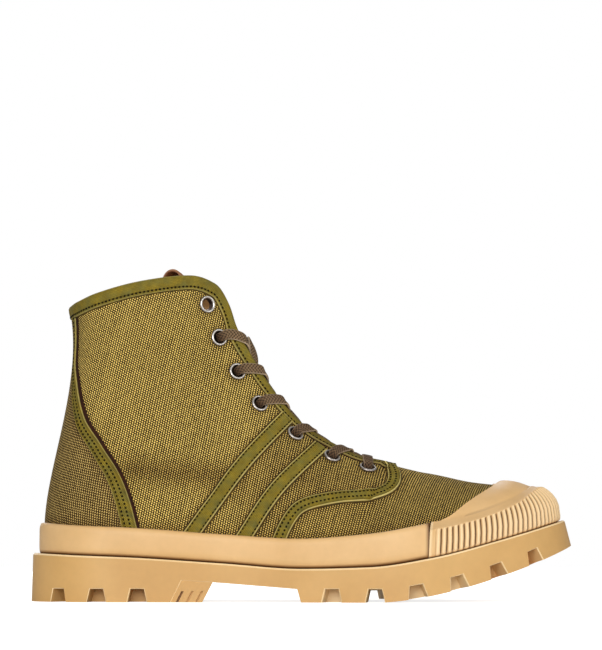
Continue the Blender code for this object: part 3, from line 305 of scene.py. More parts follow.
def lastPoint(side, along, up):  # runs on to the other side past the toe, the heel and the vamp ridge
    side, along, up = np.broadcast_arrays(np.asarray(side), np.asarray(along, float), np.asarray(up, float))
    crosses = (along < 0) ^ (along > 1)
    along = np.where(along < 0, -along, np.where(along > 1, 2 - along, along))
    over = (up > 1) & (along < last["throatStart"])
    up = np.where(over, 2 - up, np.minimum(up, 1))
    here = np.where(crosses ^ over, -side, side)
    return np.where((here == lateral)[..., None], oneSide(lateral, along, up), oneSide(medial, along, up))


def lastNormal(side, along, up):
    small = 2e-3
    side, along, up = np.broadcast_arrays(np.asarray(side), np.asarray(along, float), np.asarray(up, float))
    up = np.where((np.abs(along) < 0.01) & (up > 0.98), 0.98, up)
    top = np.where(along < last["throatStart"], up + small, np.minimum(up + small, 1))
    a = lastPoint(side, along + small, up) - lastPoint(side, along - small, up)
    b = lastPoint(side, along, top) - lastPoint(side, along, np.maximum(up - small, 0))
    return unit(np.cross(a, b) * side[..., None])


def softLines(points, table):  # a table's soft lines added up at points of the boot
    total = np.zeros(points.shape[:-1])
    here = np.where(points[..., 1] < ridgeY(points[..., 0]), lateral, medial)
    for side, x1, z1, x2, z2, width, amount in zip(*table.values()):
        start, run = np.array([x1, z1]), np.array([x2 - x1, z2 - z1])
        offset = points[..., [0, 2]] - start
        t = np.clip(offset @ run / (run @ run), 0, 1)
        distance = np.linalg.norm(offset - t[..., None] * run, axis=-1)
        total += (here == side) * amount * np.exp(-((distance / width) ** 2))
    return total


def offLast(side, along, up, distance=0.0):  # the face of the canvas, or a point off it
    point = lastPoint(side, along, up)
    lift = np.asarray(distance, float) - softLines(point, creases)
    return point + lastNormal(side, along, up) * lift[..., None]


def slopesAt(face, at, small):
    here = face(at)
    return here, np.stack([(face(at + step) - here) / small for step in np.eye(2) * small], -1)


def stepTo(slopes, miss, damp=1e-3):  # least squares for many small systems at once
    turned = np.swapaxes(slopes, -1, -2)
    square = turned @ slopes + np.eye(2) * damp
    return np.linalg.solve(square, turned @ miss[..., None])[..., 0]


searchPlaces = np.meshgrid(np.linspace(0, 1, 161), np.linspace(0, 1, 61), indexing="ij")
searchPlaces = np.stack(searchPlaces, -1).reshape(-1, 2)
searchPoints = {side: oneSide(side, *searchPlaces.T)[:, [0, 2]] for side in sideNames}


def placesOn(side, line):  # places on the last, along and up, of points of the side view
    line = np.asarray(line, float)
    nearest = [int(np.argmin(((searchPoints[side] - point) ** 2).sum(1))) for point in line]
    at = searchPlaces[nearest]
    for _ in range(10):
        here, slopes = slopesAt(lambda p: oneSide(side, p[:, 0], p[:, 1])[:, [0, 2]], at, 1e-4)
        at = np.clip(at + np.clip(stepTo(slopes, line - here, 1.0), -0.03, 0.03), 0, 1)
    return at


def walkOn(side, at, vectors):  # places reached by small steps along the face
    _, slopes = slopesAt(lambda p: lastPoint(side, p[..., 0], p[..., 1]), at, 1e-3)
    return at + stepTo(slopes, vectors)


def pathThrough(points, count):  # even points of a smooth line through a few points
    points = np.asarray(points, float)
    length = lengths(points[..., :3])
    at = np.linspace(0, length[-1], count)
    padded = np.concatenate([[2 * points[0] - points[1]], points, [2 * points[-1] - points[-2]]])
    knots = np.concatenate([[-length[1]], length, [2 * length[-1] - length[-2]]])
    i = np.clip(np.searchsorted(length, at, side="right") - 1, 0, len(points) - 2)
    span = (length[i + 1] - length[i])[:, None]
    t = (at - length[i])[:, None] / span
    slopeA = (padded[i + 2] - padded[i]) / (knots[i + 2] - knots[i])[:, None]
    slopeB = (padded[i + 3] - padded[i + 1]) / (knots[i + 3] - knots[i + 1])[:, None]
    start = points[i] * (1 + 2 * t) + slopeA * span * t
    end = points[i + 1] * (3 - 2 * t) + slopeB * span * (t - 1)
    return start * (1 - t) ** 2 + end * t * t


def edgeUps(side, alongs, distance):  # how far up each column is that far from the throat or collar
    ups = np.linspace(1, 0.2, 161)
    alongs = np.minimum(np.asarray(alongs, float), 0.997)
    line = lastPoint(side, alongs[:, None], ups)
    before, after = np.maximum(alongs - 0.003, last["throatStart"]), alongs + 0.003
    edge = lastPoint(side, after, 1) - lastPoint(side, before, 1)
    away = np.linalg.norm(np.cross(line - line[:, :1], unit(edge)[:, None]), axis=-1)
    distance = np.broadcast_to(distance, alongs.shape)
    return np.array([np.interp(d, a, ups) for d, a in zip(distance, away)])


def upsAt(side, alongs, heights):  # how far up its column the face reaches a height
    ups = np.linspace(0, 0.7, 141)
    reached = np.maximum.accumulate(lastPoint(side, np.asarray(alongs)[:, None], ups)[..., 2], axis=1)
    return np.array([np.interp(z, line + ups * 1e-6, ups) for z, line in zip(heights, reached)])


def rimUps(side, alongs, above=0.0):
    ups = np.full(len(alongs), 0.15)
    for _ in range(4):
        ups = upsAt(side, alongs, rimZ(lastPoint(side, alongs, ups)[:, 0]) + above)
    return ups


def loopPlaces(alongs):  # toe to heel on the lateral side, then back on the medial
    sides = np.array([lateral] * len(alongs) + [medial] * (len(alongs) - 2))
    return sides, np.concatenate([alongs, alongs[-2:0:-1]])


def bySide(sides, places, work):  # calls work for each side's places and puts the answers back in order
    answers = {side: work(side, places[sides == side]) for side in sideNames}
    made = np.empty((len(sides), *answers[lateral].shape[1:]))
    for side in sideNames:
        made[sides == side] = answers[side]
    return made


heelMargin = sole["margins"]["outsoleBottom"][-1]
shiftX = cadBox[0].x / mm - (last["heelX"] - heelMargin)  # from the last's own x to the frame's
print("last ready, shift %.2f mm" % shiftX)


# Node helpers

def plug(tree, value, socket):
    if isinstance(value, bpy.types.NodeSocket):
        tree.links.new(value, socket)
    else:
        socket.default_value = value


def node(tree, kind, inputs=None, **settings):
    made = tree.nodes.new(kind)
    for name, value in settings.items():
        setattr(made, name, value)
    for name, value in (inputs or {}).items():
        plug(tree, value, made.inputs[name])
    return made


def calc(tree, operation, *values):
    made = node(tree, "ShaderNodeMath", operation=operation)
    for socket, value in zip(made.inputs, values):
        plug(tree, value, socket)
    return made.outputs[0]


def spread(tree, value, fromLow, fromHigh, toLow=0.0, toHigh=1.0):
    inputs = {"Value": value, "From Min": fromLow, "From Max": fromHigh, "To Min": toLow, "To Max": toHigh}
    return node(tree, "ShaderNodeMapRange", inputs, clamp=True).outputs[0]


def mixColours(tree, factor, first, second, how="MIX"):
    made = node(tree, "ShaderNodeMix", data_type="RGBA", blend_type=how)
    for socket, value in zip((made.inputs[0], made.inputs[6], made.inputs[7]), (factor, first, second)):
        plug(tree, value, socket)
    return made.outputs[2]


def noise(tree, vector, scale, detail=2.0, rough=0.5):
    inputs = {"Vector": vector, "Scale": scale, "Detail": detail, "Roughness": rough}
    return node(tree, "ShaderNodeTexNoise", inputs).outputs["Fac"]


def attribute(tree, name):
    return node(tree, "ShaderNodeAttribute", attribute_name=name).outputs["Fac"]


def clothMap(tree):
    return node(tree, "ShaderNodeUVMap", uv_map="cloth").outputs["UV"]


def objectMap(tree):
    return node(tree, "ShaderNodeTexCoord").outputs["Object"]


def tint(red, green, blue):  # a colour as a screen shows it, made linear
    shares = np.array([red, green, blue]) / 255
    linear = np.where(shares <= 0.04045, shares / 12.92, ((shares + 0.055) / 1.055) ** 2.4)
    return (*linear.tolist(), 1.0)


def shaderGroup(name, inputs, outputs):
    tree = bpy.data.node_groups.new(name, "ShaderNodeTree")
    for label, value in inputs.items():
        kind = "NodeSocketVector" if value is None else "NodeSocketFloat"
        socket = tree.interface.new_socket(label, in_out="INPUT", socket_type=kind)
        if value is not None:
            socket.default_value = value
    for label in outputs:
        tree.interface.new_socket(label, in_out="OUTPUT", socket_type="NodeSocketFloat")
    return tree, tree.nodes.new("NodeGroupInput").outputs, tree.nodes.new("NodeGroupOutput").inputs


def place(tree, group, **inputs):
    made = node(tree, "ShaderNodeGroup", node_tree=group)
    for name, value in inputs.items():
        plug(tree, value, made.inputs[name])
    return made.outputs


# Shader groups that several finishes share

def makeWeave():  # a plain weave on a map in millimetres, its warp standing above its weft
    tree, given, made = shaderGroup("plainWeave", {"Vector": None, "Warp": 1.25, "Weft": 0.62, "Slub": 0.3},
                                    ("Height", "Tone"))
    axes = node(tree, "ShaderNodeSeparateXYZ", {0: given["Vector"]}).outputs
    wander = calc(tree, "SUBTRACT", noise(tree, given["Vector"], 0.22), 0.5)
    wander = calc(tree, "MULTIPLY", wander, given["Slub"])
    across = calc(tree, "DIVIDE", calc(tree, "ADD", axes[0], wander), given["Warp"])
    along = calc(tree, "DIVIDE", calc(tree, "SUBTRACT", axes[1], wander), given["Weft"])
    warpRound = calc(tree, "ABSOLUTE", calc(tree, "SINE", calc(tree, "MULTIPLY", across, math.pi)))
    weftRound = calc(tree, "ABSOLUTE", calc(tree, "SINE", calc(tree, "MULTIPLY", along, math.pi)))
    warpCount, weftCount = calc(tree, "FLOOR", across), calc(tree, "FLOOR", along)
    under = calc(tree, "FLOORED_MODULO", calc(tree, "ADD", warpCount, weftCount), 2.0)
    crown = calc(tree, "POWER", warpRound, 1.15)
    body = calc(tree, "MULTIPLY", crown, calc(tree, "MULTIPLY_ADD", weftRound, 0.25, 0.75))
    height = calc(tree, "MULTIPLY", body, calc(tree, "MULTIPLY_ADD", under, -0.55, 1.0))
    cell = node(tree, "ShaderNodeCombineXYZ", {"X": warpCount, "Y": weftCount}).outputs[0]
    single = node(tree, "ShaderNodeTexWhiteNoise", {"Vector": cell}, noise_dimensions="2D").outputs["Value"]
    thread = node(tree, "ShaderNodeTexWhiteNoise", {"W": warpCount}, noise_dimensions="1D").outputs["Value"]
    plug(tree, height, made["Height"])
    plug(tree, calc(tree, "MULTIPLY_ADD", thread, 0.3, calc(tree, "MULTIPLY", single, 0.7)), made["Tone"])
    return tree


def makeTwill():  # slanting ribs on a map in millimetres
    tree, given, made = shaderGroup("twill", {"Vector": None, "Pitch": 0.9, "Slant": 1.0, "Slub": 0.3},
                                    ("Height",))
    axes = node(tree, "ShaderNodeSeparateXYZ", {0: given["Vector"]}).outputs
    wander = calc(tree, "MULTIPLY", noise(tree, given["Vector"], 0.5), given["Slub"])
    lean = calc(tree, "ADD", calc(tree, "MULTIPLY_ADD", axes[1], given["Slant"], axes[0]), wander)
    rib = calc(tree, "DIVIDE", calc(tree, "MULTIPLY", lean, math.pi), given["Pitch"])
    rib = calc(tree, "ABSOLUTE", calc(tree, "SINE", rib))
    pick = calc(tree, "DIVIDE", calc(tree, "MULTIPLY", axes[1], 2 * math.pi), given["Pitch"])
    pick = calc(tree, "SINE", pick)
    plug(tree, calc(tree, "MULTIPLY_ADD", pick, 0.15, calc(tree, "MULTIPLY", rib, 0.8)), made["Height"])
    return tree


def makeMottle():  # uneven dye, dust and handling: a value round one
    tree, given, made = shaderGroup("mottle", {"Vector": None, "Scale": 30.0, "Depth": 0.15}, ("Value",))
    broad = noise(tree, given["Vector"], given["Scale"], 3.0, 0.55)
    fine = noise(tree, given["Vector"], calc(tree, "MULTIPLY", given["Scale"], 9.0), 2.0)
    both = calc(tree, "SUBTRACT", calc(tree, "MULTIPLY_ADD", fine, 0.45, broad), 0.72)
    depth = calc(tree, "MULTIPLY", given["Depth"], 3.0)
    plug(tree, calc(tree, "MULTIPLY_ADD", both, depth, 1.0), made["Value"])
    return tree


def makeGrain():  # cells and pores of leather or moulded rubber, on object coordinates
    tree, given, made = shaderGroup("grain", {"Vector": None, "Scale": 900.0, "Pores": 0.5}, ("Height",))
    cells = node(tree, "ShaderNodeTexVoronoi", {"Vector": given["Vector"], "Scale": given["Scale"]},
                 feature="SMOOTH_F1").outputs["Distance"]
    fine = noise(tree, given["Vector"], calc(tree, "MULTIPLY", given["Scale"], 1.7), 3.0)
    plug(tree, calc(tree, "MULTIPLY_ADD", cells, given["Pores"], fine), made["Height"])
    return tree


weave, twill, mottle, grain = makeWeave(), makeTwill(), makeMottle(), makeGrain()


# Finishes

def newFinish(name, **sockets):
    finish = bpy.data.materials.new(name)
    finish.use_nodes = True
    tree = finish.node_tree
    shader = tree.nodes["Principled BSDF"]
    for label, value in sockets.items():
        shader.inputs[label.replace("_", " ")].default_value = value
    return finish, tree, shader.inputs


def bumpInto(tree, inputs, height, strength, distance):
    made = node(tree, "ShaderNodeBump", {"Height": height, "Strength": strength, "Distance": distance})
    tree.links.new(made.outputs["Normal"], inputs["Normal"])


# the warm brown that painted shade darkens towards
shadeColour = (0.14, 0.04, 0.0, 1.0)


def shaded(tree, colour, darkness, amount):  # painted shade: darkens towards a warm brown where a seam, an edge, a fold or a recess lies in shade
    depth = spread(tree, darkness, 0.0, 1.5, 0.0, min(1.0, 1.5 * amount))
    return mixColours(tree, depth, colour, shadeColour, "MULTIPLY")


def canvasFinish(name, dark, light, seamShade, warp=1.245, weft=0.62):
    finish, tree, inputs = newFinish(name, Roughness=0.95, Specular_IOR_Level=0.2)
    cloth = clothMap(tree)
    threads = place(tree, weave, Vector=cloth, Warp=warp, Weft=weft)
    # the colour follows the threads' height: painted shade in the gaps and a painted highlight on the crowns,
    # with each thread's own random tone
    level = calc(tree, "MULTIPLY", threads["Height"], calc(tree, "MULTIPLY_ADD", threads["Tone"], 0.4, 0.8))
    colour = mixColours(tree, spread(tree, level, 0.3, 0.8), dark, light)
    uneven = place(tree, mottle, Vector=cloth, Scale=0.035, Depth=0.12)["Value"]
    colour = mixColours(tree, 1.0, colour, uneven, "MULTIPLY")
    plug(tree, shaded(tree, colour, attribute(tree, "shade"), seamShade), inputs["Base Color"])
    bumpInto(tree, inputs, threads["Height"], 0.55, 0.35 * mm)
    return finish


def tapeFinish(name, dark, light, faded, highlightColour):
    finish, tree, inputs = newFinish(name, Roughness=0.85, Specular_IOR_Level=0.25)
    cloth = clothMap(tree)
    ribs = place(tree, twill, Vector=cloth, Pitch=0.8, Slant=0.8)["Height"]
    colour = mixColours(tree, spread(tree, ribs, 0.1, 0.9), dark, light)
    patches = spread(tree, noise(tree, cloth, 0.16, 3.0, 0.6), 0.4, 0.72, 0.0, 0.7)
    colour = mixColours(tree, patches, colour, faded)
    uneven = place(tree, mottle, Vector=cloth, Scale=0.22, Depth=0.36)["Value"]
    colour = mixColours(tree, 1.0, colour, uneven, "MULTIPLY")
    # painted highlight along the edges
    colour = mixColours(tree, attribute(tree, "rim"), colour, highlightColour)
    plug(tree, shaded(tree, colour, attribute(tree, "shade"), 0.95), inputs["Base Color"])
    bumpInto(tree, inputs, ribs, 0.45, 0.25 * mm)
    return finish


def rubberFinish(name, base, dusty, shadeTint, pale, roughness):
    finish, tree, inputs = newFinish(name, Coat_Weight=0.04, Coat_Roughness=0.45, Specular_IOR_Level=0.4)
    spot = objectMap(tree)
    uneven = place(tree, mottle, Vector=spot, Scale=35.0, Depth=0.06)["Value"]
    dust = spread(tree, noise(tree, spot, 18.0, 4.0), 0.4, 0.7)
    colour = mixColours(tree, dust, base, dusty)
    colour = mixColours(tree, 1.0, colour, uneven, "MULTIPLY")
    # painted highlight: lightens towards the pale colour where the highlight attribute is set
    colour = mixColours(tree, attribute(tree, "rim"), colour, pale)
    # painted shade: darkens towards the shade tint where the shade attribute is set
    plug(tree, mixColours(tree, attribute(tree, "shade"), colour, shadeTint), inputs["Base Color"])
    skin = place(tree, grain, Vector=spot, Scale=1500.0, Pores=0.2)["Height"]
    plug(tree, spread(tree, skin, 0.2, 0.9, roughness - 0.06, roughness + 0.08), inputs["Roughness"])
    bumpInto(tree, inputs, skin, 0.12, 0.12 * mm)
    return finish


def leatherFinish(name, base, worn, roughness=0.55):
    finish, tree, inputs = newFinish(name, Coat_Weight=0.08, Coat_Roughness=0.4)
    spot = objectMap(tree)
    hide = place(tree, grain, Vector=spot, Scale=1100.0, Pores=0.9)["Height"]
    colour = mixColours(tree, spread(tree, noise(tree, spot, 120.0, 4.0), 0.35, 0.7), base, worn)
    uneven = place(tree, mottle, Vector=spot, Scale=90.0, Depth=0.15)["Value"]
    colour = mixColours(tree, 1.0, colour, uneven, "MULTIPLY")
    plug(tree, shaded(tree, colour, attribute(tree, "shade"), 0.6), inputs["Base Color"])
    plug(tree, spread(tree, hide, 0.3, 1.2, roughness - 0.1, roughness + 0.12), inputs["Roughness"])
    bumpInto(tree, inputs, hide, 0.3, 0.2 * mm)
    return finish


def metalFinish(name, bright, dull):
    finish, tree, inputs = newFinish(name, Metallic=1.0)
    spot = objectMap(tree)
    worn = noise(tree, spot, 900.0, 4.0, 0.65)
    colour = mixColours(tree, spread(tree, worn, 0.35, 0.65), bright, dull)
    plug(tree, shaded(tree, colour, attribute(tree, "shade"), 0.6), inputs["Base Color"])
    plug(tree, spread(tree, worn, 0.3, 0.75, 0.24, 0.46), inputs["Roughness"])
    bumpInto(tree, inputs, worn, 0.08, 0.1 * mm)
    return finish


def braidFinish(name, dark, light, pale):  # two chevrons that meet along the middle of a flat lace
    finish, tree, inputs = newFinish(name, Roughness=0.85, Specular_IOR_Level=0.25)
    cloth = clothMap(tree)
    axes = node(tree, "ShaderNodeSeparateXYZ", {0: cloth}).outputs
    lean = calc(tree, "MULTIPLY_ADD", calc(tree, "ABSOLUTE", axes[1]), 0.9, axes[0])
    plait = calc(tree, "ABSOLUTE", calc(tree, "SINE", calc(tree, "MULTIPLY", lean, math.pi / 1.9)))
    back = calc(tree, "MULTIPLY_ADD", calc(tree, "ABSOLUTE", axes[1]), -0.9, axes[0])
    cross = calc(tree, "ABSOLUTE", calc(tree, "SINE", calc(tree, "MULTIPLY", back, math.pi / 1.9)))
    height = calc(tree, "MULTIPLY_ADD", cross, 0.35, calc(tree, "MULTIPLY", plait, 0.65))
    colour = mixColours(tree, spread(tree, height, 0.15, 0.9), dark, light)
    edge = spread(tree, calc(tree, "ABSOLUTE", axes[1]), 2.4, 2.75, 0.0, 0.8)
    colour = mixColours(tree, edge, colour, pale)
    uneven = place(tree, mottle, Vector=cloth, Scale=0.12, Depth=0.2)["Value"]
    colour = mixColours(tree, 1.0, colour, uneven, "MULTIPLY")
    plug(tree, shaded(tree, colour, attribute(tree, "shade"), 0.7), inputs["Base Color"])
    bumpInto(tree, inputs, height, 0.6, 0.3 * mm)
    return finish


def threadFinish(name, base, light):
    finish, tree, inputs = newFinish(name, Roughness=0.9, Specular_IOR_Level=0.1)
    spot = objectMap(tree)
    plug(tree, mixColours(tree, noise(tree, spot, 1400.0), base, light), inputs["Base Color"])
    bumpInto(tree, inputs, noise(tree, spot, 4000.0), 0.3, 0.1 * mm)
    return finish


looks = dict(
    canvas=canvasFinish("canvas", tint(14, 3, 0), tint(255, 218, 116), 0.78),
    # a darker copy of the canvas for the back panel: painted shade
    shadedPanelCanvas=canvasFinish("shadedPanelCanvas", tint(32, 17, 0), tint(214, 180, 104), 0.78),
    lining=canvasFinish("lining", tint(36, 32, 14), tint(84, 74, 38), 0.3, 0.9, 0.7),
    tape=tapeFinish("tape", tint(74, 60, 4), tint(158, 136, 42), tint(98, 98, 50), tint(222, 204, 128)),
    thread=threadFinish("thread", tint(8, 6, 0), tint(26, 20, 4)),
    outsoleRubber=rubberFinish("outsoleRubber", tint(207, 160, 94), tint(213, 169, 105), tint(110, 70, 32),
                               tint(246, 212, 160), 0.5),
    # paler, lighter and darker copies of the outsole's rubber: a painted highlight for chamfers and cut
    # faces, painted light for the notches' insides and painted shade for a grip slot
    outsoleRim=rubberFinish("outsoleRim", tint(246, 212, 156), tint(250, 220, 170), tint(110, 70, 32),
                            tint(250, 220, 170), 0.42),
    outsoleInside=rubberFinish("outsoleInside", tint(228, 184, 124), tint(232, 190, 132), tint(110, 70, 32),
                               tint(246, 212, 160), 0.5),
    outsoleShadowed=rubberFinish("outsoleShadowed", tint(138, 92, 46), tint(150, 104, 56), tint(90, 54, 24),
                             tint(200, 150, 90), 0.6),
    midsoleRubber=rubberFinish("midsoleRubber", tint(223, 179, 119), tint(229, 188, 132), tint(92, 52, 18),
                               tint(250, 218, 168), 0.46),
    leather=leatherFinish("leather", tint(232, 174, 110), tint(212, 150, 88)),
    metal=metalFinish("metal", (0.86, 0.82, 0.77, 1.0), (0.45, 0.42, 0.39, 1.0)),
    lace=braidFinish("lace", tint(8, 4, 0), tint(130, 104, 75), tint(186, 164, 136)),
    tongueCloth=canvasFinish("tongueCloth", tint(28, 22, 12), tint(74, 58, 32), 0.3, 0.9, 0.6),
    footbed=canvasFinish("footbed", tint(44, 38, 18), tint(98, 86, 48), 0.3, 0.8, 0.8),
)
print("finishes ready:", len(looks))


# Mesh helpers

def toFrame(points):
    return (np.asarray(points, float) + [shiftX, 0, 0]) * mm


# Merge is a distance in millimetres, and fill the number of sides of the largest hole that is closed
def newPiece(name, points, faces, finishes, uv=None, loopUv=None, values=None, faceLook=None, sharp=38,
             merge=0.002, fill=0):
    mesh = bpy.data.meshes.new(name)
    mesh.from_pydata(toFrame(points).tolist(), [], faces)
    for finish in finishes:
        mesh.materials.append(finish)
    if faceLook is not None:
        mesh.polygons.foreach_set("material_index", np.asarray(faceLook, np.int32))
    if uv is not None:
        corners = np.empty(len(mesh.loops), np.int32)
        mesh.loops.foreach_get("vertex_index", corners)
        loopUv = np.asarray(uv)[corners]
    if loopUv is not None:
        mesh.uv_layers.new(name="cloth").data.foreach_set("uv", np.asarray(loopUv, np.float32).ravel())
    for label, value in (values or {}).items():
        layer = mesh.attributes.new(label, "FLOAT", "POINT")
        layer.data.foreach_set("value", np.asarray(value, np.float32).ravel())
    form = bmesh.new()
    form.from_mesh(mesh)
    bmesh.ops.delete(form, geom=[v for v in form.verts if not v.link_faces], context="VERTS")
    bmesh.ops.remove_doubles(form, verts=form.verts, dist=merge * mm)
    if fill:
        bmesh.ops.holes_fill(form, edges=[e for e in form.edges if e.is_boundary], sides=fill)
    bmesh.ops.recalc_face_normals(form, faces=form.faces)
    form.to_mesh(mesh)
    form.free()
    mesh.shade_smooth()
    mesh.set_sharp_from_angle(angle=math.radians(sharp))
    piece = bpy.data.objects.new(name, mesh)
    bpy.context.scene.collection.objects.link(piece)
    return piece


def gridFaces(rowCount, columnCount, first=0, wrap=False):
    r, c = np.meshgrid(np.arange(rowCount - 1), np.arange(columnCount - (not wrap)), indexing="ij")
    n = (c + 1) % columnCount
    corners = [r * columnCount + c, r * columnCount + n, (r + 1) * columnCount + n,
               (r + 1) * columnCount + c]
    return (np.stack(corners, -1).reshape(-1, 4) + first).tolist()


def tubeFaces(rings, around, wrapRings=False):  # rings of points listed ring by ring, each closed
    faces = gridFaces(rings, around, 0, True)
    if wrapRings:
        start = (rings - 1) * around
        faces += [(start + c, start + (c + 1) % around, (c + 1) % around, c) for c in range(around)]
    return faces


def plateFaces(rowCount, columnCount):  # a closed sheet: a low grid, then a high one
    count = rowCount * columnCount
    low = [face[::-1] for face in gridFaces(rowCount, columnCount)]
    border = list(range(columnCount)) + [r * columnCount + columnCount - 1 for r in range(1, rowCount)]
    border += [(rowCount - 1) * columnCount + c for c in range(columnCount - 2, -1, -1)]
    border += [r * columnCount for r in range(rowCount - 2, 0, -1)]
    sides = [(a, b, count + b, count + a) for a, b in zip(border, border[1:] + border[:1])]
    return low + gridFaces(rowCount, columnCount, count) + sides


def acrossFaces(loop):  # strips that close a loop listed down one side and back up the other
    half = len(loop) // 2
    faces = []
    for i in range(half):
        back = len(loop) - i
        corners = [loop[i], loop[i + 1], loop[back - 1], loop[back % len(loop)]]
        faces.append([p for k, p in enumerate(corners) if p not in corners[:k]])
    return faces


def dress(piece, slot, *nodes):
    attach(piece, "root")
    if nodes:
        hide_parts(*nodes)
    print("  %s: %d faces" % (piece.name, len(piece.data.polygons)))


# Geometry Nodes: trees, and a run that leaves a plain mesh

def geometryTree(name, inputs):
    tree = bpy.data.node_groups.new(name, "GeometryNodeTree")
    tree.interface.new_socket("Geometry", in_out="INPUT", socket_type="NodeSocketGeometry")
    for label, (kind, value) in inputs.items():
        socket = tree.interface.new_socket(label, in_out="INPUT", socket_type="NodeSocket" + kind)
        if value is not None:
            socket.default_value = value
    tree.interface.new_socket("Geometry", in_out="OUTPUT", socket_type="NodeSocketGeometry")
    return tree, tree.nodes.new("NodeGroupInput").outputs, tree.nodes.new("NodeGroupOutput").inputs


def namedValue(tree, name, kind):
    made = node(tree, "GeometryNodeInputNamedAttribute", {"Name": name}, data_type=kind)
    return next(socket for socket in made.outputs if socket.enabled and socket.name == "Attribute")


def facing(tree, forward, outward):  # turns local X along a direction and local Z outward
    along = node(tree, "FunctionNodeAlignRotationToVector", {"Vector": forward}, axis="X")
    return node(tree, "FunctionNodeAlignRotationToVector",
                {"Rotation": along.outputs[0], "Vector": outward}, axis="Z", pivot_axis="X").outputs[0]


def withFinish(tree, geometry, finish, made):
    done = node(tree, "GeometryNodeSetMaterial", {"Geometry": geometry, "Material": finish})
    plug(tree, done.outputs[0], made["Geometry"])


def stitchTree():  # stitches along every line of a mesh of edges
    tree, given, made = geometryTree("stitchRow", {
        "Pitch": ("Float", 2.1 * mm), "Length": ("Float", 1.6 * mm), "Width": ("Float", 0.55 * mm),
        "Height": ("Float", 0.4 * mm), "Thread": ("Material", None)})
    curve = node(tree, "GeometryNodeMeshToCurve", {"Mesh": given["Geometry"]}).outputs[0]
    points = node(tree, "GeometryNodeResampleCurve", {"Curve": curve, "Length": given["Pitch"]},
                  mode="LENGTH").outputs[0]
    bead = node(tree, "GeometryNodeMeshUVSphere", {"Segments": 8, "Rings": 5, "Radius": 0.5})
    size = {"X": given["Length"], "Y": given["Width"], "Z": given["Height"]}
    size = node(tree, "ShaderNodeCombineXYZ", size).outputs[0]
    bead = node(tree, "GeometryNodeTransform", {"Geometry": bead.outputs["Mesh"], "Scale": size}).outputs[0]
    tangent = node(tree, "GeometryNodeInputTangent").outputs[0]
    turn = facing(tree, tangent, namedValue(tree, "outward", "FLOAT_VECTOR"))
    inputs = {"Points": points, "Instance": bead, "Rotation": turn}
    sewn = node(tree, "GeometryNodeInstanceOnPoints", inputs).outputs[0]
    sewn = node(tree, "GeometryNodeRealizeInstances", {"Geometry": sewn}).outputs[0]
    sewn = node(tree, "GeometryNodeSetShadeSmooth", {"Geometry": sewn}).outputs[0]
    withFinish(tree, sewn, given["Thread"], made)
    return tree


def ringTree():  # one ring at every point, turned by the point's own directions
    tree, given, made = geometryTree("ringSet", {"Ring": ("Object", None), "Finish": ("Material", None)})
    ring = node(tree, "GeometryNodeObjectInfo", {"Object": given["Ring"]}).outputs["Geometry"]
    forward, outward = (namedValue(tree, name, "FLOAT_VECTOR") for name in ("forward", "outward"))
    turn = facing(tree, forward, outward)
    points = node(tree, "GeometryNodeMeshToPoints", {"Mesh": given["Geometry"]}).outputs[0]
    inputs = {"Points": points, "Instance": ring, "Rotation": turn}
    placed = node(tree, "GeometryNodeInstanceOnPoints", inputs).outputs[0]
    placed = node(tree, "GeometryNodeRealizeInstances", {"Geometry": placed}).outputs[0]
    withFinish(tree, placed, given["Finish"], made)
    return tree


def ribTree():  # round ribs raised along the face, by each point's own count and fade
    tree, given, made = geometryTree("ribBand",
                                     {"Height": ("Float", 1.1 * mm), "Roundness": ("Float", 0.55),
                                                 "Finish": ("Material", None)})
    count, fade = namedValue(tree, "ribCount", "FLOAT"), namedValue(tree, "ribFade", "FLOAT")
    wave = calc(tree, "ABSOLUTE", calc(tree, "SINE", calc(tree, "MULTIPLY", count, math.pi)))
    rise = calc(tree, "SUBTRACT", calc(tree, "POWER", wave, given["Roundness"]), 1.0)
    rise = calc(tree, "MULTIPLY", calc(tree, "MULTIPLY", rise, fade), given["Height"])
    normal = node(tree, "GeometryNodeInputNormal").outputs[0]
    offset = node(tree, "ShaderNodeVectorMath", {0: normal, "Scale": rise}, operation="SCALE").outputs[0]
    inputs = {"Geometry": given["Geometry"], "Offset": offset}
    moved = node(tree, "GeometryNodeSetPosition", inputs).outputs[0]
    moved = node(tree, "GeometryNodeRealizeInstances", {"Geometry": moved}).outputs[0]
    withFinish(tree, moved, given["Finish"], made)
    return tree


def runTree(name, mesh, tree, inputs):
    carrier = bpy.data.objects.new(name + "Carrier", mesh)
    bpy.context.scene.collection.objects.link(carrier)
    modifier = carrier.modifiers.new("nodes", "NODES")
    modifier.node_group = tree
    for socket in tree.interface.items_tree:
        if socket.in_out == "INPUT" and socket.name in inputs:
            modifier[socket.identifier] = inputs[socket.name]
    bpy.context.view_layer.update()
    made = bpy.data.meshes.new_from_object(carrier.evaluated_get(bpy.context.evaluated_depsgraph_get()))
    made.name = name
    carrier.modifiers.remove(modifier)
    bpy.data.objects.remove(carrier, do_unlink=True)
    piece = bpy.data.objects.new(name, made)
    bpy.context.scene.collection.objects.link(piece)
    return piece


trees = dict(stitches=stitchTree(), rings=ringTree(), ribs=ribTree())


def vectorsOn(mesh, label, vectors):
    layer = mesh.attributes.new(label, "FLOAT_VECTOR", "POINT")
    layer.data.foreach_set("vector", np.asarray(vectors, np.float32).ravel())


def sew(name, lines, slot, **sizes):  # lines are pairs of points and outward directions
    points = np.concatenate([line for line, _ in lines])
    ends = np.cumsum([len(line) for line, _ in lines])
    edges = [(i, i + 1) for i in range(len(points) - 1) if i + 1 not in ends]
    mesh = bpy.data.meshes.new(name + "Lines")
    mesh.from_pydata(toFrame(points).tolist(), edges, [])
    vectorsOn(mesh, "outward", np.concatenate([out for _, out in lines]))
    inputs = {"Thread": looks["thread"], **{key: value * mm for key, value in sizes.items()}}
    dress(runTree(name, mesh, trees["stitches"], inputs), slot)


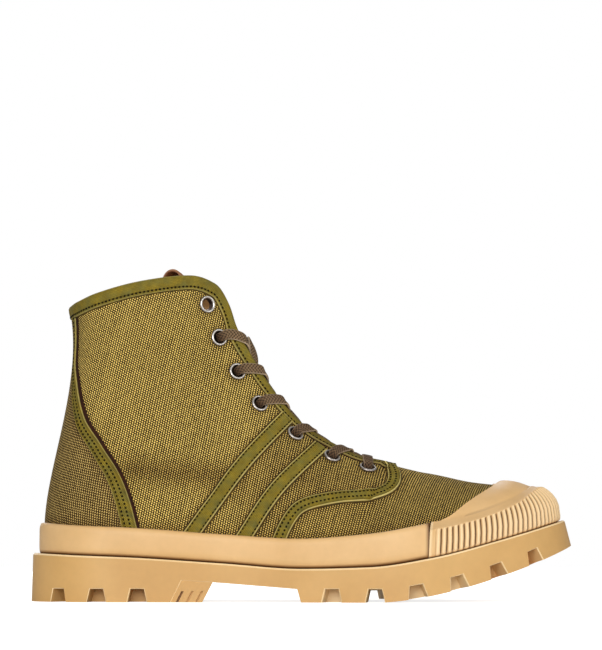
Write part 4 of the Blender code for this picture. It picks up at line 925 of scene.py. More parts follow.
# Eyelet places, which the upper, the eyelets and the lace share
eyelets = dict(
    rows=rows(
        "x z",
        (-50.7, 159.5),
        (-44.3, 141.8),
        (-34.4, 123.4),
        (-22.4, 106.0),
        (-3.2, 89.8),
        (16.5, 77.6),
        (36.0, 71.5),
    ),
    punch=3.7,  # radius of the hole in the canvas
    punchReach=8,
    shadeRadius=4.3,
    edgeSteps=260,
    segments=40,
    # radius and height of the turned ring, from under its flange over its crest and down its barrel
    profile=(
        (3.05, 0.05), (4.6, 0.05), (4.74, 0.22), (4.74, 0.55), (4.6, 0.88), (4.34, 1.1), (4.05, 1.2),
        (3.75, 1.14), (3.48, 0.94), (3.25, 0.6), (3.05, 0.1), (2.85, -0.5), (2.7, -1.1), (2.62, -1.6),
        (2.75, -2.1), (3.05, -2.25), (3.4, -2.05), (3.3, -1.85), (3.05, -1.8),
    ),
    dark=((3.5, -0.4, 1.3), (4.4, 0.25, 0.9)),  # radius where the barrel and the flange's outer edge go dark, run and depth: painted shade in the barrel and a painted shadow round the edge
)


def eyeletFrames(side):
    frames = []
    places = np.linspace(last["throatStart"] + 0.006, 0.76, eyelets["edgeSteps"])
    edge = offLast(side, places, 1.0)
    for at in placesOn(side, np.stack([eyelets["rows"]["x"], eyelets["rows"]["z"]], -1)):
        eye = offLast(side, *at)
        nearest = int(np.argmin(np.linalg.norm(edge - eye, axis=1)))
        up = unit(edge[min(nearest + 2, len(edge) - 1)] - edge[max(nearest - 2, 0)])
        way = edge[nearest] - eye
        frames.append(dict(eye=eye, out=lastNormal(side, *at), edge=edge[nearest], run=np.linalg.norm(way),
                           way=unit(way), up=up, outEdge=lastNormal(side, places[nearest], 0.99)))
    return frames


eyeletSets = {side: eyeletFrames(side) for side in sideNames}


# Tapes sewn on the upper, along lines of the side view
tapes = dict(
    bandRear=dict(line=((-59.0, 34.6), (-31.4, 72.6), (-8.0, 98.6)), width=8.0, count=70,
                  name="band_{}_rear"),
    bandFront=dict(line=((-32.0, 31.4), (-13.4, 59.2), (10.4, 83.2)), width=8.0, count=60,
                   name="band_{}_front"),
    eyestay=dict(line=((-12.5, 30.5), (-7.0, 42.4), (0.0, 50.5), (18.0, 55.1), (34.0, 56.4), (43.4, 58.5),
                       (49.0, 62.4), (50.7, 66.6), (49.6, 70.2), (47.4, 73.0)), width=7.0, count=110,
                 name="eyestay_tape_{}", stitches=(-0.3, 0.12), roll=0.2, rise=0.7, soften=12),
    # the counter tape's highlight is dimmed, and on its toe side the dark skirt widens from 0.5 to 1.7 mm and
    # goes nearly black, a painted shadow
    counter=dict(line=((-90.0, 34.5), (-94.6, 52.0), (-100.7, 67.6), (-109.2, 81.7), (-118.0, 96.4),
                       (-122.3, 121.3), (-123.9, 152.5)), width=6.4, count=100, name="counter_tape_{}",
                 stitches=(-0.24, 0.1), shadowSkirt=(0.5, 1.7), roll=0.2, flare=0.25, pale=0.35, limit=0.979),
)
# the outer shares are a thin dark skirt lying on the canvas, a painted shadow along each edge; the shades at
# the stitch grooves are painted shade
tapeSection = dict(
    shares=(-0.615, -0.59, -0.51, -0.495, -0.465, -0.42, -0.36, -0.3, -0.18, 0.0,
            0.18, 0.3, 0.36, 0.42, 0.465, 0.495, 0.51, 0.59, 0.615),
    lifts=(0.05, 0.16, 0.2, 0.75, 1.12, 1.2, 0.98, 1.12, 1.24, 1.28, 1.24, 1.12, 0.98, 1.2, 1.12, 0.75, 0.2,
           0.16, 0.05),
    # painted highlight along each edge
    paintedHighlights=(0.0, 0.0, 0.0, 1.0, 0.8, 0.0, 0.0, 0.0, 0.0, 0.0, 0.0, 0.0, 0.0, 0.0, 0.8, 1.0, 0.0, 0.0, 0.0),
    shades=(1.0, 1.2, 1.2, 0.1, 0.0, 0.0, 0.6, 0.1, 0.0, 0.0, 0.0, 0.1, 0.6, 0.0, 0.0, 0.1, 1.2, 1.2, 1.0),
    stitchShare=0.36,
    stitchSink=0.05,
    rollAt=0.36,
    rollReach=0.14,
    shadowSkirtLift=0.22,
    shadowSkirtShade=0.45,
    tuck=2.0,  # how far a tape runs down behind the midsole's rim
)
seamThread = dict(Pitch=2.15, Length=1.45, Width=1.15, Height=0.66)


def stripPlaces(side, path, width, shares):
    before, after = np.concatenate([path[:1], path[:-1]]), np.concatenate([path[1:], path[-1:]])
    tangent = lastPoint(side, *after.T) - lastPoint(side, *before.T)
    sideways = unit(np.cross(lastNormal(side, *path.T), tangent))
    middle, columns = lastPoint(side, *path.T), []
    for share in shares:
        aim, at = middle + sideways * np.reshape(width * share, (-1, 1)), path
        for _ in range(3):
            at = walkOn(side, at, aim - lastPoint(side, *at.T))
            # a strip may run on over the vamp's ridge
            most = np.where(at[:, 0] < last["throatStart"], 1.2, 1.0)
            at = np.stack([np.clip(at[:, 0], 0, 1), np.clip(at[:, 1], 0, most)], -1)
        columns.append(at)
    return np.stack(columns, 1)


def trimToRim(side, places, tuck):  # starts each line of a strip a little below the midsole's rim
    count = len(places)
    trimmed = np.empty_like(places)
    for j in range(places.shape[1]):
        points = lastPoint(side, *places[:, j].T)
        above = points[:, 2] - rimZ(points[:, 0]) + tuck
        start = np.interp(0, above[: count // 2], np.arange(count // 2))
        at = np.linspace(start, count - 1, count)
        trimmed[:, j] = np.stack([np.interp(at, np.arange(count), places[:, j, k]) for k in (0, 1)], -1)
    return trimmed


def tapePlaces(side, tape, shares):
    path = placesOn(side, pathThrough(tape["line"], tape["count"]))
    if "limit" in tape:  # keeps short of the heel's middle
        soft = 0.006
        path[:, 0] = tape["limit"] - soft * np.logaddexp(0, (tape["limit"] - path[:, 0]) / soft)
    width = tape["width"] * (1 + tape.get("flare", 0.0) * ease(1 - np.linspace(0, 1.6, tape["count"])))
    places = stripPlaces(side, path, width, shares)
    for _ in range(tape.get("soften", 0)):
        places[1:-1] = (places[:-2] + places[1:-1] * 2 + places[2:]) / 4
    return trimToRim(side, places, tapeSection["tuck"])


def makeTape(side, tape):  # sews one tape on, and gives its middle and its rows of stitches
    name = tape["name"].format(sideNames[side])
    shares, lifts = np.array(tapeSection["shares"]), np.array(tapeSection["lifts"])
    toeward = shares * side  # above zero on the half nearer the toe
    hasShadowSkirt = "shadowSkirt" in tape
    shadowSkirt = np.linspace(*tape.get("shadowSkirt", (0.0, 0.0)), tape["count"]) / tape["width"]
    shares = shares[:, None] + np.where(toeward > 0.53, side, 0)[:, None] * shadowSkirt
    lifts = lifts + tapeSection["shadowSkirtLift"] * hasShadowSkirt * (toeward > 0.5)
    bulge = np.exp(-(((toeward - tapeSection["rollAt"]) / tapeSection["rollReach"]) ** 2))
    lifts = lifts + tape.get("roll", 0.0) * bulge
    places = tapePlaces(side, tape, shares)
    high = lifts + tape.get("rise", 0.0) * ease(np.linspace(-7, 1, tape["count"]))[:, None]
    low, face = (offLast(side, places[..., 0], places[..., 1], lift)
                 for lift in (np.zeros(high.shape), high))
    middle = lifts.size // 2
    long = lengths(face[:, middle])
    uv = np.stack(np.broadcast_arrays(long[:, None], shares.T * tape["width"]), -1).reshape(-1, 2)
    # painted highlight along the edges; painted shade in the skirt and the stitch grooves
    rim, shade = (np.broadcast_to(tapeSection[key], places.shape[:2]).ravel() for key in ("paintedHighlights", "shades"))
    rim = rim * tape.get("pale", 1.0)
    # painted shadow: the toe side's skirt goes nearly black
    dark = shade + tapeSection["shadowSkirtShade"] * hasShadowSkirt
    shade = np.where(np.tile(toeward, len(places)) > 0.5, dark, shade)
    piece = newPiece("boot_" + name, np.concatenate([low.reshape(-1, 3), face.reshape(-1, 3)]),
                     plateFaces(*places.shape[:2]), [looks["tape"]], uv=np.tile(uv, (2, 1)),
                     values={"rim": np.tile(rim, 2), "shade": np.tile(shade, 2)})
    dress(piece, "tape", name)
    seams = []
    for share in tape.get("stitches", (-tapeSection["stitchShare"], tapeSection["stitchShare"])):
        line = np.array([[np.interp(share * side, at, row[:, k]) for k in (0, 1)]
                         for at, row in zip(shares.T, places)])
        rise = np.array([np.interp(share * side, at, row) for at, row in zip(shares.T, high)])
        seam = offLast(side, *line.T, rise - tapeSection["stitchSink"])
        seams.append((seam, lastNormal(side, *line.T)))
    return low[:, middle], seams


stitchLines = []
spines = []  # points that seams lie round, with the distance to the seam, for the shade beside them
for side in sideNames:
    for tape in tapes.values():
        spine, seams = makeTape(side, tape)
        spines += [(point, tape["width"] / 2) for point in spine]
        stitchLines += seams
    spines += [(eyelet["eye"], eyelets["shadeRadius"]) for eyelet in eyeletSets[side]]
sew("tape_stitches", stitchLines, "tape", **seamThread)
print("tapes sewn")


# The upper: canvas outside, lining inside, eyelet holes punched, vamp and quarter cut on their own grain
upper = dict(
    frontColumns=88,
    backColumns=124,
    rows=84,
    quarterLean=(11.0, 5.5),  # degrees that the warp and the weft lean, tops to the toe
    vampLean=(15.0, 11.0),
    quarterAnchor=0.72,  # places along the side where the map keeps to the side view
    vampAnchor=0.25,
    seamReach=2.6,  # how far a seam's shade runs
    seamDepth=0.55,
    rimReach=3.0,  # and the shade above the midsole
    rimDepth=0.6,
    wrapFrom=0.5,  # ahead of here the map keeps to the side view, then it turns to follow the boot round
    wrapRun=0.2,
)


def clothUv(points, alongs, anchor):  # a map in millimetres: round the boot and up its columns
    bend = ease((alongs[1:, None] - upper["wrapFrom"]) / upper["wrapRun"])
    run = np.hypot(np.diff(points[..., 0], axis=0), np.diff(points[..., 1], axis=0) * bend)
    run = np.concatenate([np.zeros((1, points.shape[1])), np.cumsum(run, 0)])
    middle = int(np.argmin(np.abs(alongs - anchor)))
    u = points[middle, :, 0] - (run - run[middle])
    climb = np.linalg.norm(np.diff(points[..., 1:], axis=1), axis=-1)
    v = points[:, :1, 2] + np.concatenate([np.zeros((len(points), 1)), np.cumsum(climb, 1)], 1)
    return np.stack([u, v], -1)


def leaned(uv, degrees):
    warp, weft = np.radians(degrees)
    u, v = uv[..., 0], uv[..., 1]
    return np.stack([u * math.cos(warp) - v * math.sin(warp), u * math.sin(weft) + v * math.cos(weft)], -1)


def seamShade(points):
    tree = kdtree.KDTree(len(spines))
    for i, (point, _) in enumerate(spines):
        tree.insert(Vector(point), i)
    tree.balance()
    shade = np.zeros(points.shape[:-1])
    for place in np.ndindex(shade.shape):
        _, i, distance = tree.find(Vector(points[place]))
        away = max(distance - spines[i][1], 0) / upper["seamReach"]
        shade[place] = upper["seamDepth"] * math.exp(-(away**2))
    above = np.maximum(points[..., 2] - rimZ(points[..., 0]), 0)
    shade = np.maximum(shade, np.exp(-((above / upper["rimReach"]) ** 2)) * upper["rimDepth"])
    return 1 - (1 - shade) * (1 - softLines(points, paintedShadeLines))


def makeUpper():
    start = last["throatStart"]
    front, back = np.linspace(0, start, upper["frontColumns"]), np.linspace(start, 1, upper["backColumns"])
    alongs = np.concatenate([front, back[1:]])
    ups = np.linspace(0, 1, upper["rows"])
    sides, along = loopPlaces(alongs)
    outer = offLast(sides[:, None], along[:, None], ups)
    normal = lastNormal(sides[:, None], along[:, None], ups)
    columns, rowCount = outer.shape[:2]
    inside = np.zeros((columns, rowCount), bool)
    for side in sideNames:
        for eyelet in eyeletSets[side]:
            offset = outer - eyelet["eye"]
            flat = offset - (offset @ eyelet["out"])[..., None] * eyelet["out"]
            radius = np.linalg.norm(flat, axis=-1)
            near = (radius < eyelets["punch"]) & (np.linalg.norm(offset, axis=-1) < eyelets["punchReach"])
            outer[near] += (flat * (eyelets["punch"] / np.maximum(radius, 1e-6) - 1)[..., None])[near]
            inside |= near
    under = outer - normal * last["wall"]
    shade = seamShade(outer)
    grains = {}
    for key in ("quarter", "vamp"):
        maps = [clothUv(lastPoint(side, alongs[:, None], ups), alongs, upper[key + "Anchor"])
                for side in sideNames]
        both = np.concatenate([maps[0], maps[1][-2:0:-1]])
        grains[key] = leaned(both, upper[key + "Lean"]).reshape(-1, 2)
    eyestay = np.array(tapes["eyestay"]["line"])
    pairs = inside & np.roll(inside, -1, 0)
    kept = ~(pairs[:, :-1] & pairs[:, 1:])
    beside = [np.roll(~kept, step, axis) for step in (1, -1) for axis in (0, 1)]
    kept |= ~np.any(beside, axis=0)  # a hole's cell that only touches it at a corner stays
    faces, loopUv, faceLook = [], [], []
    count = columns * rowCount
    for c in range(columns):
        n = (c + 1) % columns
        for r in range(rowCount - 1):
            if not kept[c, r]:
                continue
            quad = [c * rowCount + r, c * rowCount + r + 1, n * rowCount + r + 1, n * rowCount + r]
            x, _, z = outer[c, r]
            isVamp = x > eyestay[-1, 0] or (x > eyestay[0, 0] and z < np.interp(x, *eyestay.T))
            grainMap = grains["vamp" if isVamp else "quarter"]
            borders = []
            edges = ((quad[0], quad[1], (c - 1) % columns, r), (quad[1], quad[2], c, r + 1),
                     (quad[2], quad[3], n, r), (quad[3], quad[0], c, r - 1))
            for a, b, otherColumn, otherRow in edges:
                sewn = otherRow == rowCount - 1 and max(along[c], along[n]) <= start + 1e-6
                if not sewn and (otherRow < 0 or otherRow == rowCount - 1 or not kept[otherColumn, otherRow]):
                    borders.append([b, a, a + count, b + count])
            inner = [count + p for p in quad[::-1]]
            for face, look in [(quad, 0), (inner, 1)] + [(border, 0) for border in borders]:
                faces.append(face)
                faceLook.append(look)
                loopUv.append(grainMap[np.array(face) % count])
    points = np.concatenate([outer.reshape(-1, 3), under.reshape(-1, 3)])
    shades = np.concatenate([shade.ravel(), np.zeros(count)])
    return newPiece("boot_upper", points, faces, [looks["canvas"], looks["lining"]],
                    loopUv=np.concatenate(loopUv), values={"shade": shades}, faceLook=faceLook, fill=8)


dress(makeUpper(), "canvas", "upper")
print("upper cut")


# The back panel between the counter tapes, its cloth turned across
counter = dict(rows=56, across=30, lift=0.85, lean=(-0.5, 16.0))


def makeCounter():
    grids = {}
    for side in sideNames:
        path = tapePlaces(side, tapes["counter"], np.array([-0.1, 0.1]))
        back = max((path[:, 0], path[:, 1]), key=lambda line: line[0, 0])
        picked = back[np.linspace(0, len(back) - 1, counter["rows"]).round().astype(int)]
        fan = np.linspace(0, 1, counter["across"] + 1)
        alongs = picked[:, :1] + (1 - picked[:, :1]) * fan
        low = rimUps(side, alongs.ravel(), -tapeSection["tuck"]).reshape(alongs.shape)
        high = edgeUps(side, alongs.ravel(), 1.0).reshape(alongs.shape)
        share = np.clip((picked[:, 1:] - low[:, :1]) / (high[:, :1] - low[:, :1]), 0, 1)
        grids[side] = np.stack([alongs, low + (high - low) * share], -1)
    places = np.concatenate([grids[lateral], grids[medial][:, -2::-1]], 1)
    sides = np.array([lateral] * (counter["across"] + 1) + [medial] * counter["across"])[None, :]
    low, high = (offLast(sides, places[..., 0], places[..., 1], np.full(places.shape[:2], lift))
                 for lift in (0.05, counter["lift"]))
    uv = leaned(np.stack([lengthsAcross(high), high[..., 2]], -1), counter["lean"]).reshape(-1, 2)
    shade = seamShade(high).ravel()
    # its finish is the canvas darkened, painted shade
    return newPiece("boot_heel_counter", np.concatenate([low.reshape(-1, 3), high.reshape(-1, 3)]),
                    plateFaces(*places.shape[:2]), [looks["shadedPanelCanvas"]], uv=np.concatenate([uv, uv]),
                    values={"shade": np.concatenate([shade, shade])})


def lengthsAcross(grid):  # length run along each row, from its middle
    run = np.cumsum(np.linalg.norm(np.diff(grid, axis=1), axis=-1), 1)
    run = np.concatenate([np.zeros((len(grid), 1)), run], 1)
    return run - run[:, [grid.shape[1] // 2]]


dress(makeCounter(), "canvas", "heel_counter")


# Tape folded over the edge of the throat and the collar
binding = dict(collarWidth=5.4, throatWidth=4.0, lift=1.55, inside=1.4, stitchShare=0.27, columns=150)


def bindingFrames():
    alongs = np.linspace(last["throatStart"], 1, binding["columns"])
    sides, places = loopPlaces(alongs)
    tip = offLast(sides, places, 1.0)
    widths = binding["throatWidth"]
    widths = widths + (binding["collarWidth"] - widths) * ease((places - 0.6) / 0.15)
    reach = np.empty(len(places))
    for side in sideNames:
        reach[sides == side] = edgeUps(side, places[sides == side], widths[sides == side])
    low, outLow = offLast(sides, places, reach), lastNormal(sides, places, reach)
    outTip = lastNormal(sides, places, 0.995)
    front = places == last["throatStart"]
    outTip[front] = outLow[front] = unit(np.array([0.22, 0, 0.975]))
    low[front] = tip[front] + np.array([0.975, 0, -0.22]) * binding["throatWidth"]
    down = low - tip
    down = unit(down - outTip * (down * outTip).sum(-1, keepdims=True))
    return tip, low, outTip, outLow, down


def makeBinding():
    tip, low, outTip, outLow, down = bindingFrames()
    lift, inside, half = binding["lift"], last["wall"] + binding["inside"], last["wall"] / 2
    # the first rings are a dark flange lying on the canvas under the lower edge, a painted shadow; the stitch
    # ring takes painted shade and the roll's crown a painted highlight
    rings = [low + outLow * 0.05 + down * 0.6, low + outLow * 0.2 + down * 0.55,
             low + outLow * 0.22 + down * 0.06, low + outLow * 0.8 - down * 0.05]
    paintedHighlights, shades = [0.0, 0.0, 0.0, 0.45], [1.0, 1.0, 1.0, 0.2]
    for share, rise, rim, shade in ((0.04, 1.25, 0.4, 0.0), (0.1, 1.38, 0.0, 0.0), (0.2, 1.36, 0.0, 0.0),
                                    (binding["stitchShare"], 1.12, 0.0, 0.8), (0.34, 1.4, 0.0, 0.0),
                                    (0.5, 1.5, 0.0, 0.0), (0.7, lift, 0.0, 0.0), (0.88, lift, 0.0, 0.0)):
        out = unit(outLow + (outTip - outLow) * share)
        rings.append(low + (tip - low) * share + out * rise)
        paintedHighlights.append(rim)
        shades.append(shade)
    centre, size = tip - outTip * half, half + lift
    for turn in np.radians((15, 45, 75, 105, 135, 165)):
        rings.append(centre + (outTip * math.cos(turn) - down * math.sin(turn)) * size)
        paintedHighlights.append(0.25 if 1.0 < turn < 2.2 else 0.0)
    for share in (0.6, 0.2):
        out = unit(outLow + (outTip - outLow) * share)
        rings.append(low + (tip - low) * share - out * inside)
        paintedHighlights.append(0.0)
    rings.append(low - outLow * (inside - 0.9))
    paintedHighlights.append(1.0)
    profiles = np.stack(rings, 1)
    around, size = profiles.shape[:2]
    long = lengths(profiles[:, 8])
    wide = np.concatenate([[0], np.cumsum(np.linalg.norm(np.diff(profiles[around // 3], axis=0), axis=-1))])
    uv = np.stack(np.broadcast_arrays(long[:, None], wide), -1).reshape(-1, 2)
    faces = tubeFaces(around, size, True)
    dim = 0.5 * ease((tip[:, :1] + 15) / 25)  # the throat's lower end lies in the lace's shade
    shade = np.array(shades + [0.0] * (size - len(shades))) + dim
    piece = newPiece("boot_edge_binding", profiles.reshape(-1, 3), faces, [looks["tape"]], uv=uv,
                     values={"rim": np.tile(paintedHighlights, around), "shade": shade}, sharp=60)
    dress(piece, "tape", "edge_binding")
    share = binding["stitchShare"]
    out = unit(outLow + (outTip - outLow) * share)
    line = low + (tip - low) * share + out * 1.3
    order = np.append(np.arange(around), 0)
    sew("binding_stitches", [(line[order], out[order])], "tape", **seamThread)


makeBinding()
print("edge bound")


# The round patch on the medial ankle: plain leather with a pressed ring and a stitched edge
badge = dict(centre=(-88, 113), radius=19.0, thick=1.6, ringAt=0.8, stitchAt=0.9, rings=22, around=72,
             thread=dict(Pitch=2.4, Length=1.7, Width=0.6, Height=0.5))


def makeBadge():
    centre = placesOn(medial, [badge["centre"]])[0]
    out = lastNormal(medial, *centre)
    level = unit(np.cross([0, 0, 1], out))
    upright = np.cross(out, level)
    turn = np.linspace(0, 2 * math.pi, badge["around"], endpoint=False)
    around = level * np.cos(turn)[:, None] + upright * np.sin(turn)[:, None]

    def ring(radius, lift):
        at = walkOn(medial, np.broadcast_to(centre, (badge["around"], 2)), around * radius)
        return offLast(medial, *at.T, np.full(badge["around"], lift)), lastNormal(medial, *at.T)

    shares = np.concatenate([np.linspace(0.0, 0.95, badge["rings"]), [0.975, 0.993, 1.0]])
    pressed = 0.35 * np.exp(-(((shares - badge["ringAt"]) / 0.025) ** 2))
    pressed += 0.2 * np.exp(-(((shares - badge["stitchAt"]) / 0.02) ** 2))
    lifts = badge["thick"] - pressed - np.array([0.0] * badge["rings"] + [0.12, 0.4, 0.8])
    loops = [ring(share * badge["radius"], lift)[0] for share, lift in zip(shares, lifts)]
    loops += [ring(badge["radius"], 0.05)[0], ring(0.0, 0.05)[0]]
    shade = np.repeat(np.append(np.clip(pressed * 2.5, 0, 1), [1, 1]), badge["around"])
    faces = tubeFaces(len(loops), badge["around"])
    piece = newPiece("boot_badge", np.concatenate(loops), faces, [looks["leather"]],
                     values={"shade": shade})
    dress(piece, "leather", "badge")
    line, outs = ring(badge["stitchAt"] * badge["radius"], badge["thick"] - 0.1)
    order = np.append(np.arange(badge["around"]), 0)
    sew("badge_stitches", [(line[order], outs[order])], "leather", **badge["thread"])


makeBadge()


# Eyelets, one turned ring set at every place
def makeEyelets():
    turn = np.linspace(0, 2 * math.pi, eyelets["segments"], endpoint=False)
    profile = np.array(eyelets["profile"])
    rings = np.stack([profile[:, :1] * np.cos(turn), profile[:, :1] * np.sin(turn),
                      np.broadcast_to(profile[:, 1:], (len(profile), len(turn)))], -1)
    shade = sum(ease((profile[:, 0] - start) / run) * depth for start, run, depth in eyelets["dark"])
    ring = newPiece("eyeletRing", rings.reshape(-1, 3) - [shiftX, 0, 0],
                    tubeFaces(len(profile), len(turn), True), [looks["metal"]],
                    values={"shade": np.repeat(shade, len(turn))})
    frames = eyeletSets[lateral] + eyeletSets[medial]
    mesh = bpy.data.meshes.new("eyeletPlaces")
    mesh.from_pydata(toFrame([eyelet["eye"] for eyelet in frames]).tolist(), [], [])
    vectorsOn(mesh, "outward", [eyelet["out"] for eyelet in frames])
    vectorsOn(mesh, "forward", [eyelet["way"] for eyelet in frames])
    piece = runTree("eyelets", mesh, trees["rings"], {"Ring": ring, "Finish": looks["metal"]})
    bpy.data.objects.remove(ring, do_unlink=True)
    return piece


eyeletNodes = [f"eyelet_{name}_{row}" for name in sideNames.values() for row in range(1, 8)]
dress(makeEyelets(), "eyelet_metal", *eyeletNodes)
print("eyelets set")


# The tongue, under the throat's edges, with a leather patch at its top
tongue = dict(
    thick=2.4,
    across=36,
    count=96,
    patch=24.0,  # length of the leather at the top
    sections=rows(
        "along reach inset recess shiftX shiftZ",
        (0.380, 9, 5.0, 5.0, 0, 0),
        (0.408, 10, 5.0, 5.0, 0, 0),
        (0.440, 11, 5.0, 3.8, 0, 0),
        (0.475, 12, 4.5, 2.6, 0, 0),
        (0.520, 13, 4.3, 2.2, 0, 0),
        (0.570, 14, 4.4, 2.3, 0, 0),
        (0.615, 14, 4.6, 3.0, 0, 0),
        (0.660, 14, 5.4, 4.5, 0, 0),
        (0.700, 13, 6.6, 7.0, 0, 0),
        (0.726, 11, 8.0, 10.0, -1, 0),
        (0.726, 9, 8.0, 10.0, -9, 7),
        (0.726, 7, 8.0, 10.0, -16.5, 13),
    ),
)


def resample(points, count):
    length = lengths(points)
    at = np.linspace(0, length[-1], count)
    return np.stack([np.interp(at, length, points[:, k]) for k in range(3)], -1)


def tongueSection(along, reach, inset, recess, moveX, moveZ):
    wings = {}
    for side in sideNames:
        low = edgeUps(side, [max(along, last["throatStart"] + 0.004)], reach)[0]
        wings[side] = lastPoint(side, along, np.linspace(low, 1, 9))
        wings[side] = wings[side] - lastNormal(side, along, np.linspace(low, 1, 9)) * inset
    middle = (lastPoint(lateral, along, 1) + lastPoint(medial, along, 1)) / 2
    out = unit(lastNormal(lateral, along, 0.99) + lastNormal(medial, along, 0.99))
    start, end = wings[lateral][-1], wings[medial][-1]
    t = np.linspace(0, 1, 15)[1:-1, None]
    bridge = start + (end - start) * t + (middle - out * recess - (start + end) / 2) * 4 * t * (1 - t)
    line = np.concatenate([wings[lateral], bridge, wings[medial][::-1]])
    return resample(line, tongue["across"] + 1) + [moveX, 0, moveZ]


def gridNormals(grid):
    return unit(np.cross(np.gradient(grid, axis=0), np.gradient(grid, axis=1)))


tab = dict(skew=0.45, pinch=0.55, length=12.0, height=8.5, width=14.0, thick=1.7, stand=7 * sole["gap"],
           turns=36, across=9)


def makeTongue():
    sections = np.array([tongueSection(*row) for row in zip(*tongue["sections"].values())])
    front = np.stack([pathThrough(sections[:, k], tongue["count"]) for k in range(tongue["across"] + 1)], 1)
    normal = gridNormals(front)
    if normal[tongue["count"] // 2, tongue["across"] // 2, 2] < 0:
        normal = -normal
    long = lengths(front[:, tongue["across"] // 2])
    cover = ease((long[-1] - long - tongue["patch"] + 0.6) / -1.2)[:, None]  # 1 on the leather patch
    face = front + normal * cover[..., None] * 0.9
    uv = np.stack(np.broadcast_arrays(lengthsAcross(front), long[:, None]), -1).reshape(-1, 2)
    rowCount, columnCount = front.shape[:2]
    faces = plateFaces(rowCount, columnCount)
    high = (rowCount - 1) * (columnCount - 1)
    patched = np.repeat(long[1:] > long[-1] - tongue["patch"], columnCount - 1)
    faceLook = np.zeros(len(faces), int)
    faceLook[high:2 * high] = patched
    piece = newPiece("boot_tongue",
                     np.concatenate([(front - normal * tongue["thick"]).reshape(-1, 3),
                                     face.reshape(-1, 3)]), faces, [looks["tongueCloth"], looks["leather"]],
                     uv=np.concatenate([uv, uv]), faceLook=faceLook)
    dress(piece, "tongue_cloth", "tongue")
    middle = tongue["across"] // 2
    return front[-1, middle] - normal[-1, middle] * tongue["thick"] / 2


def makeTab(top):  # a leather loop on the tongue's top edge, open to the sides
    bow = np.linspace(0, math.pi, tab["turns"])
    outer = np.stack([tab["length"] / 2 * np.cos(bow), tab["height"] * np.sin(bow)], -1)
    inner = np.stack([(tab["length"] / 2 - tab["thick"]) * np.cos(bow),
                      tab["thick"] + (tab["height"] - 2 * tab["thick"]) * np.sin(bow)], -1)
    base = np.linspace(-0.5, 0.5, tab["across"])
    foot = np.stack([base * tab["length"], np.zeros(len(base))], -1)[1:-1]
    inside = tab["length"] - 2 * tab["thick"]
    seat = np.stack([base * inside, np.full(len(base), tab["thick"])], -1)[1:-1]
    loops = [np.concatenate([outer, foot]), np.concatenate([inner, seat])]
    count = len(loops[0])
    points, faces = [], []
    ys = np.array([-1, -0.97, -0.9, -0.5, 0.0, 0.5, 0.9, 0.97, 1]) * tab["width"] / 2
    soften = np.array([0.45, 0.15, 0.0, 0.0, 0.0, 0.0, 0.0, 0.15, 0.45])
    for loop, other in ((loops[0], loops[1]), (loops[1], loops[0])):
        way = unit(other - loop)
        for y, soft in zip(ys, soften):
            flat = loop + way * soft
            pinch = 1 - tab["pinch"] * ease(0.5 + y / tab["width"])
            x = flat[:, 0] + tab["skew"] * y
            points.append(top + np.stack([x, np.full(count, y), flat[:, 1] * pinch + tab["stand"]], -1))
    size = len(ys)
    for layer in (0, size):
        faces += [[p + layer * count for p in face] for face in tubeFaces(size, count)]
    for end in (0, size - 1):
        for c in range(count):
            n = (c + 1) % count
            faces.append([end * count + c, end * count + n, (end + size) * count + n,
                          (end + size) * count + c])
    points = np.concatenate(points)
    shade = np.repeat([1.15, 1.5], size * count)
    piece = newPiece("boot_tongue_tab", points, faces, [looks["leather"]], values={"shade": shade})
    dress(piece, "leather", "tongue_tab")


makeTab(makeTongue())
print("tongue in")


# The lace: one flat braid from eyelet to eyelet, its two ends inside at the second row
lace = dict(width=5.8, thick=1.5, slant=0.6, clear=0.1, overLift=1.3, underLift=-0.5, topLift=4.6,
            barLift=2.6, holeWidth=4.6, holeThick=1.9, spacing=0.75, around=16, squareness=3.2)
eyeletKeys = "eye out way run edge outEdge up".split()


# From inside a hole, over its flange and the binding, to where the strand leaves the edge
def overEdge(eyelet, slant, arch=0.0):
    eye, out, way, run, edge, outEdge, up = (eyelet[key] for key in eyeletKeys)
    inward = unit(np.cross(outEdge, up))
    inward = inward * np.sign(inward @ way)
    rolled = edge - outEdge * last["wall"] / 2
    onBinding = binding["lift"] + lace["thick"] / 2 + lace["clear"]
    reach = last["wall"] / 2 + onBinding
    lean = -up * run * slant
    spots = [
        (eye - out * 1.4, 1.0),
        (eye + out * 1.0 + way * 0.5, 1.0),
        (eye + out * 2.2 + way * 2.6 + lean * 0.05 * (1 - arch), 0.4),
        (eye + out * 2.25 + way * min(4.6, run * 0.6) + lean * 0.2 * (1 - arch), 0.0),
        (edge - way * run * 0.2 + outEdge * onBinding + lean * (0.55 - 0.25 * arch), 0.0),
        (rolled + unit(outEdge * 0.75 + inward * 0.65) * reach + lean * (1 - 0.15 * arch), 0.0),
        (rolled + unit(outEdge * 0.1 + inward) * (reach + 0.2) + lean * 1.45, 0.0),
    ]
    return [(point, up, hole) for point, hole in spots]


def underEdge(eyelet):  # from the gap in under an edge and to the underside of its hole
    eye, out, way, run, edge, outEdge, up = (eyelet[key] for key in eyeletKeys)
    inward = unit(np.cross(outEdge, up))
    inward = inward * np.sign(inward @ way)
    deep = last["wall"] + binding["inside"] + lace["thick"] / 2 + 0.15
    spots = [
        (edge + inward * 2.6 - outEdge * deep * 0.75, 0.0),
        (edge - way * run * 0.3 - outEdge * deep, 0.0),
        (eye + way * 2.2 - out * deep, 0.4),
        (eye + way * 0.4 - out * (deep - 0.6), 1.0),
    ]
    return [(point, up, hole) for point, hole in spots]


